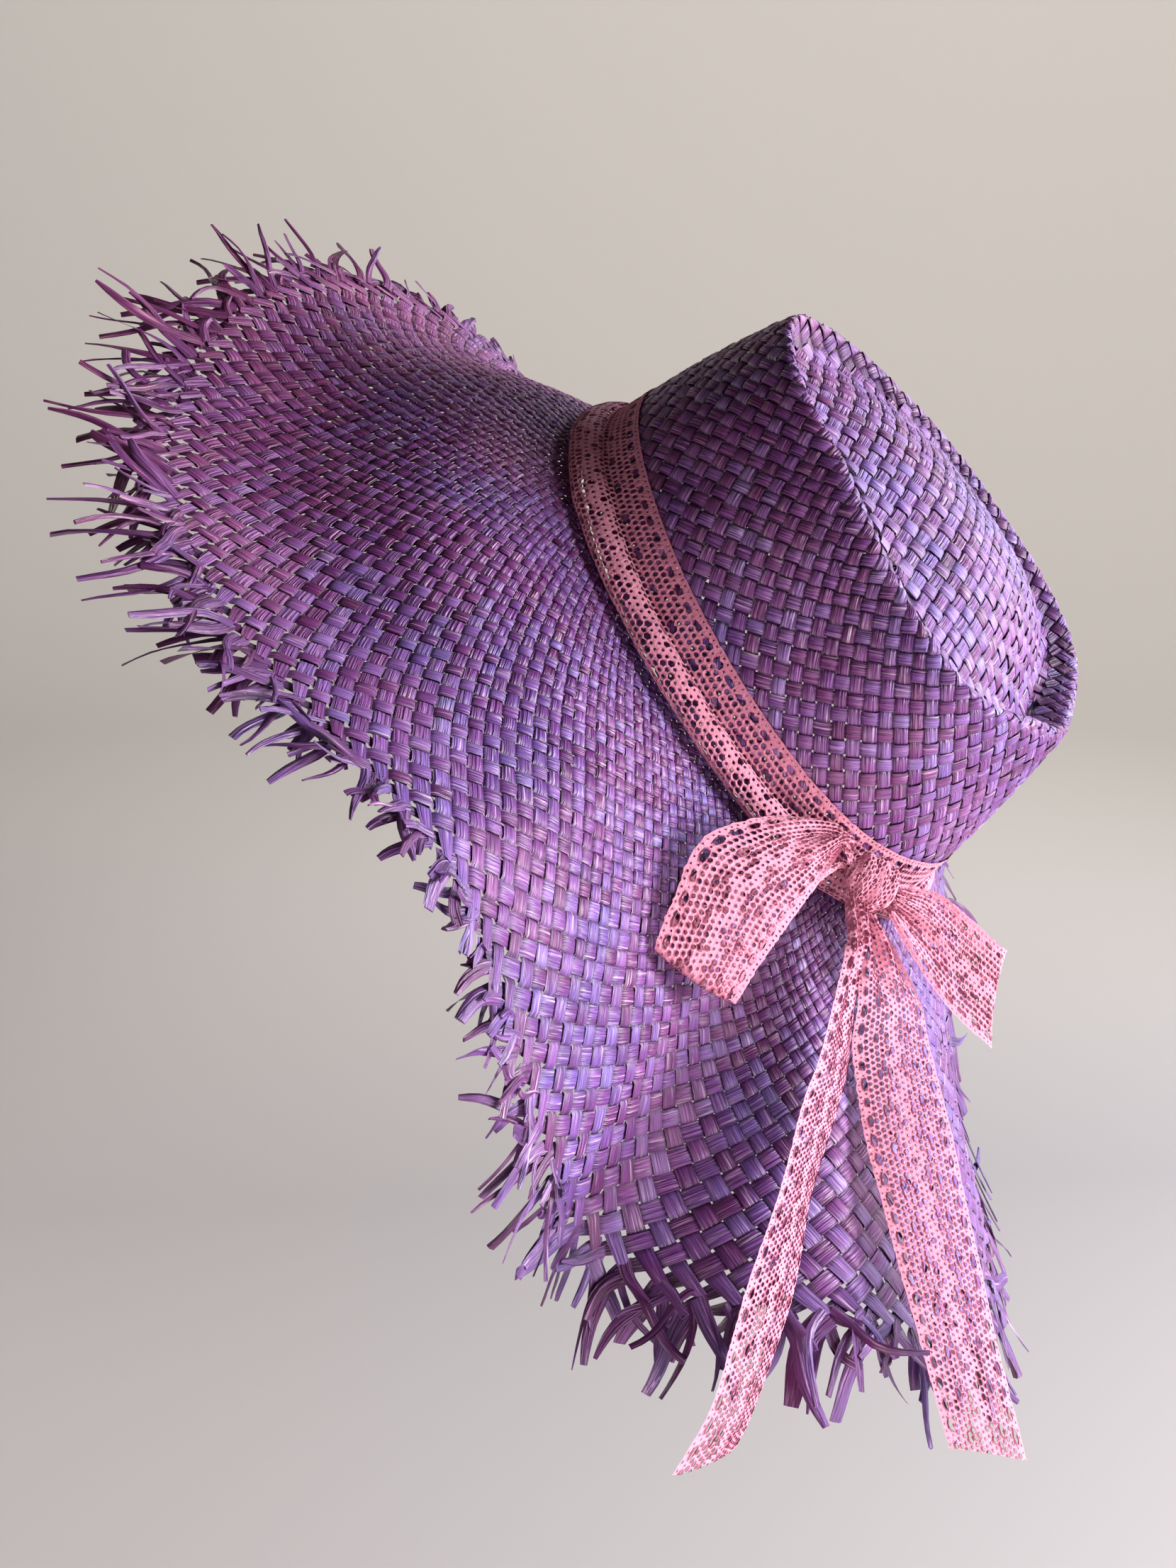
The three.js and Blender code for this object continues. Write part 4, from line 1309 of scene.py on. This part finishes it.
floor_level = cad_box[0][2] - FLOOR_DROP
arc = np.linspace(0, np.pi / 2, SWEEP_STEPS)[1:]
sweep_out = FLOOR_FLAT + SWEEP_RADIUS * np.sin(arc)
sweep_up = SWEEP_RADIUS * (1 - np.cos(arc))
profile_out = np.concatenate([[FLOOR_MIDDLE, FLOOR_FLAT], sweep_out, [FLOOR_FLAT + SWEEP_RADIUS]])
profile_up = np.concatenate([[0.0, 0.0], sweep_up, [SWEEP_RADIUS + WALL_RISE]])
turn = np.linspace(0, 2 * np.pi, FLOOR_STEPS, endpoint=False)[:, None]
height = profile_up + 0 * turn + floor_level
bowl = np.stack([profile_out * np.cos(turn), profile_out * np.sin(turn), height], -1)
here = np.arange(height.size).reshape(height.shape)
there = np.roll(here, -1, axis=0)
bowl_quads = np.stack([here[:, :-1], here[:, 1:], there[:, 1:], there[:, :-1]], -1).reshape(-1, 4)
floor_mesh = bpy.data.meshes.new("floor")
floor_mesh.from_pydata(bowl.reshape(-1, 3).tolist(), [], [*bowl_quads.tolist(), here[:, 0].tolist()])
floor_mesh.shade_smooth()
floor = bpy.data.objects.new("floor", floor_mesh)
bpy.context.scene.collection.objects.link(floor)
floor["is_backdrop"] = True
paper, paper_tree, paper_output = new_material("pale_paper")
paper_look = {"Base Color": linear(FLOOR_COLOUR), "Roughness": PAPER_ROUGHNESS}
paper_shader = add(paper_tree, "ShaderNodeBsdfPrincipled", paper_look, gives="BSDF")
paper_tree.links.new(paper_shader, paper_output.inputs["Surface"])
finish_pieces([floor], paper)

# %% [markdown]
# Soft square lights, as a studio has them. The key light stands to the right of the camera and rakes over
# the weave, and a cooler window light comes from behind it. A weak bounce from below opens the shadows, a
# weak front light shows the side that the camera doesn't see, and one more light brightens the paper wall.
# Four of them are placed by a direction in the camera's own axes and a distance from the hat, in metres.

# %% Light
HAT_MIDDLE = np.array([0.03, 0.02, -0.02])
WALL_LIGHT_PLACE = (-1.55, 0.05, 1.6)
WALL_LIGHT_BACK = (0.8, 0.45, 0.1)
STUDIO_GLOW = "#ffc8c8"
STUDIO_GLOW_STRENGTH = 0.05
LIGHTS = {
    "name": ["key", "window", "bounce", "front"],
    "right": [0.95, 0.77, 0.08, -0.85],
    "up": [0.04, 0.44, -0.78, 0.3],
    "back": [0.28, -0.42, 0.6, -0.5],
    "distance": [1.7, 1.9, 0.85, 1.6],
    "size": [0.75, 1.4, 0.7, 0.7],
    "power": [75.0, 36.0, 7.5, 8.0],
    "colour": ["#faf4fa", "#f0edff", "#ffdfe6", "#ffeee6"],
}


def soft_light(name, place, back, size, power, colour):
    """A square soft light at a place, with its back to one direction, which the camera doesn't see."""
    side = unit(np.cross(np.array([0.0, 0.0, 1.0]), back))
    data = bpy.data.lights.new(name, "AREA")
    data.size = size
    data.energy = power
    data.color = linear(colour)[:3]
    light = bpy.data.objects.new(name, data)
    light.matrix_world = aimed(place, side, np.cross(back, side), back)
    light.visible_camera = False
    bpy.context.scene.collection.objects.link(light)
    print(f"{name} light: {power} W")


wall_light_back = unit(np.array(WALL_LIGHT_BACK))
soft_light("wall", WALL_LIGHT_PLACE, wall_light_back, size=1.5, power=104.0, colour="#fff6f2")
for name, right, up, back, distance, size, power, colour in zip(*LIGHTS.values()):
    away = unit(right * camera_right + up * camera_up + back * camera_back)
    soft_light(name, HAT_MIDDLE + distance * away, away, size, power, colour)

world = bpy.data.worlds.new("studio")
bpy.context.scene.world = world
world.use_nodes = True
background = world.node_tree.nodes["Background"]
background.inputs["Color"].default_value = linear(STUDIO_GLOW)
background.inputs["Strength"].default_value = STUDIO_GLOW_STRENGTH
bpy.context.scene.view_settings.view_transform = "Standard"

# %% [markdown]
# Last, the dressed hat's box is measured, and how far it grows past the frame's box is printed. The
# dressed hat may stand only a little proud of the frame's box.

# %% Sizes and finish
dressed_box = [list(corner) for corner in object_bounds()]
growth = [round((dressed_box[i][k] - cad_box[i][k]) / MM, 1) for i in (0, 1) for k in range(3)]
print("growth past the frame's box, low x y z then high x y z, in mm:", growth)
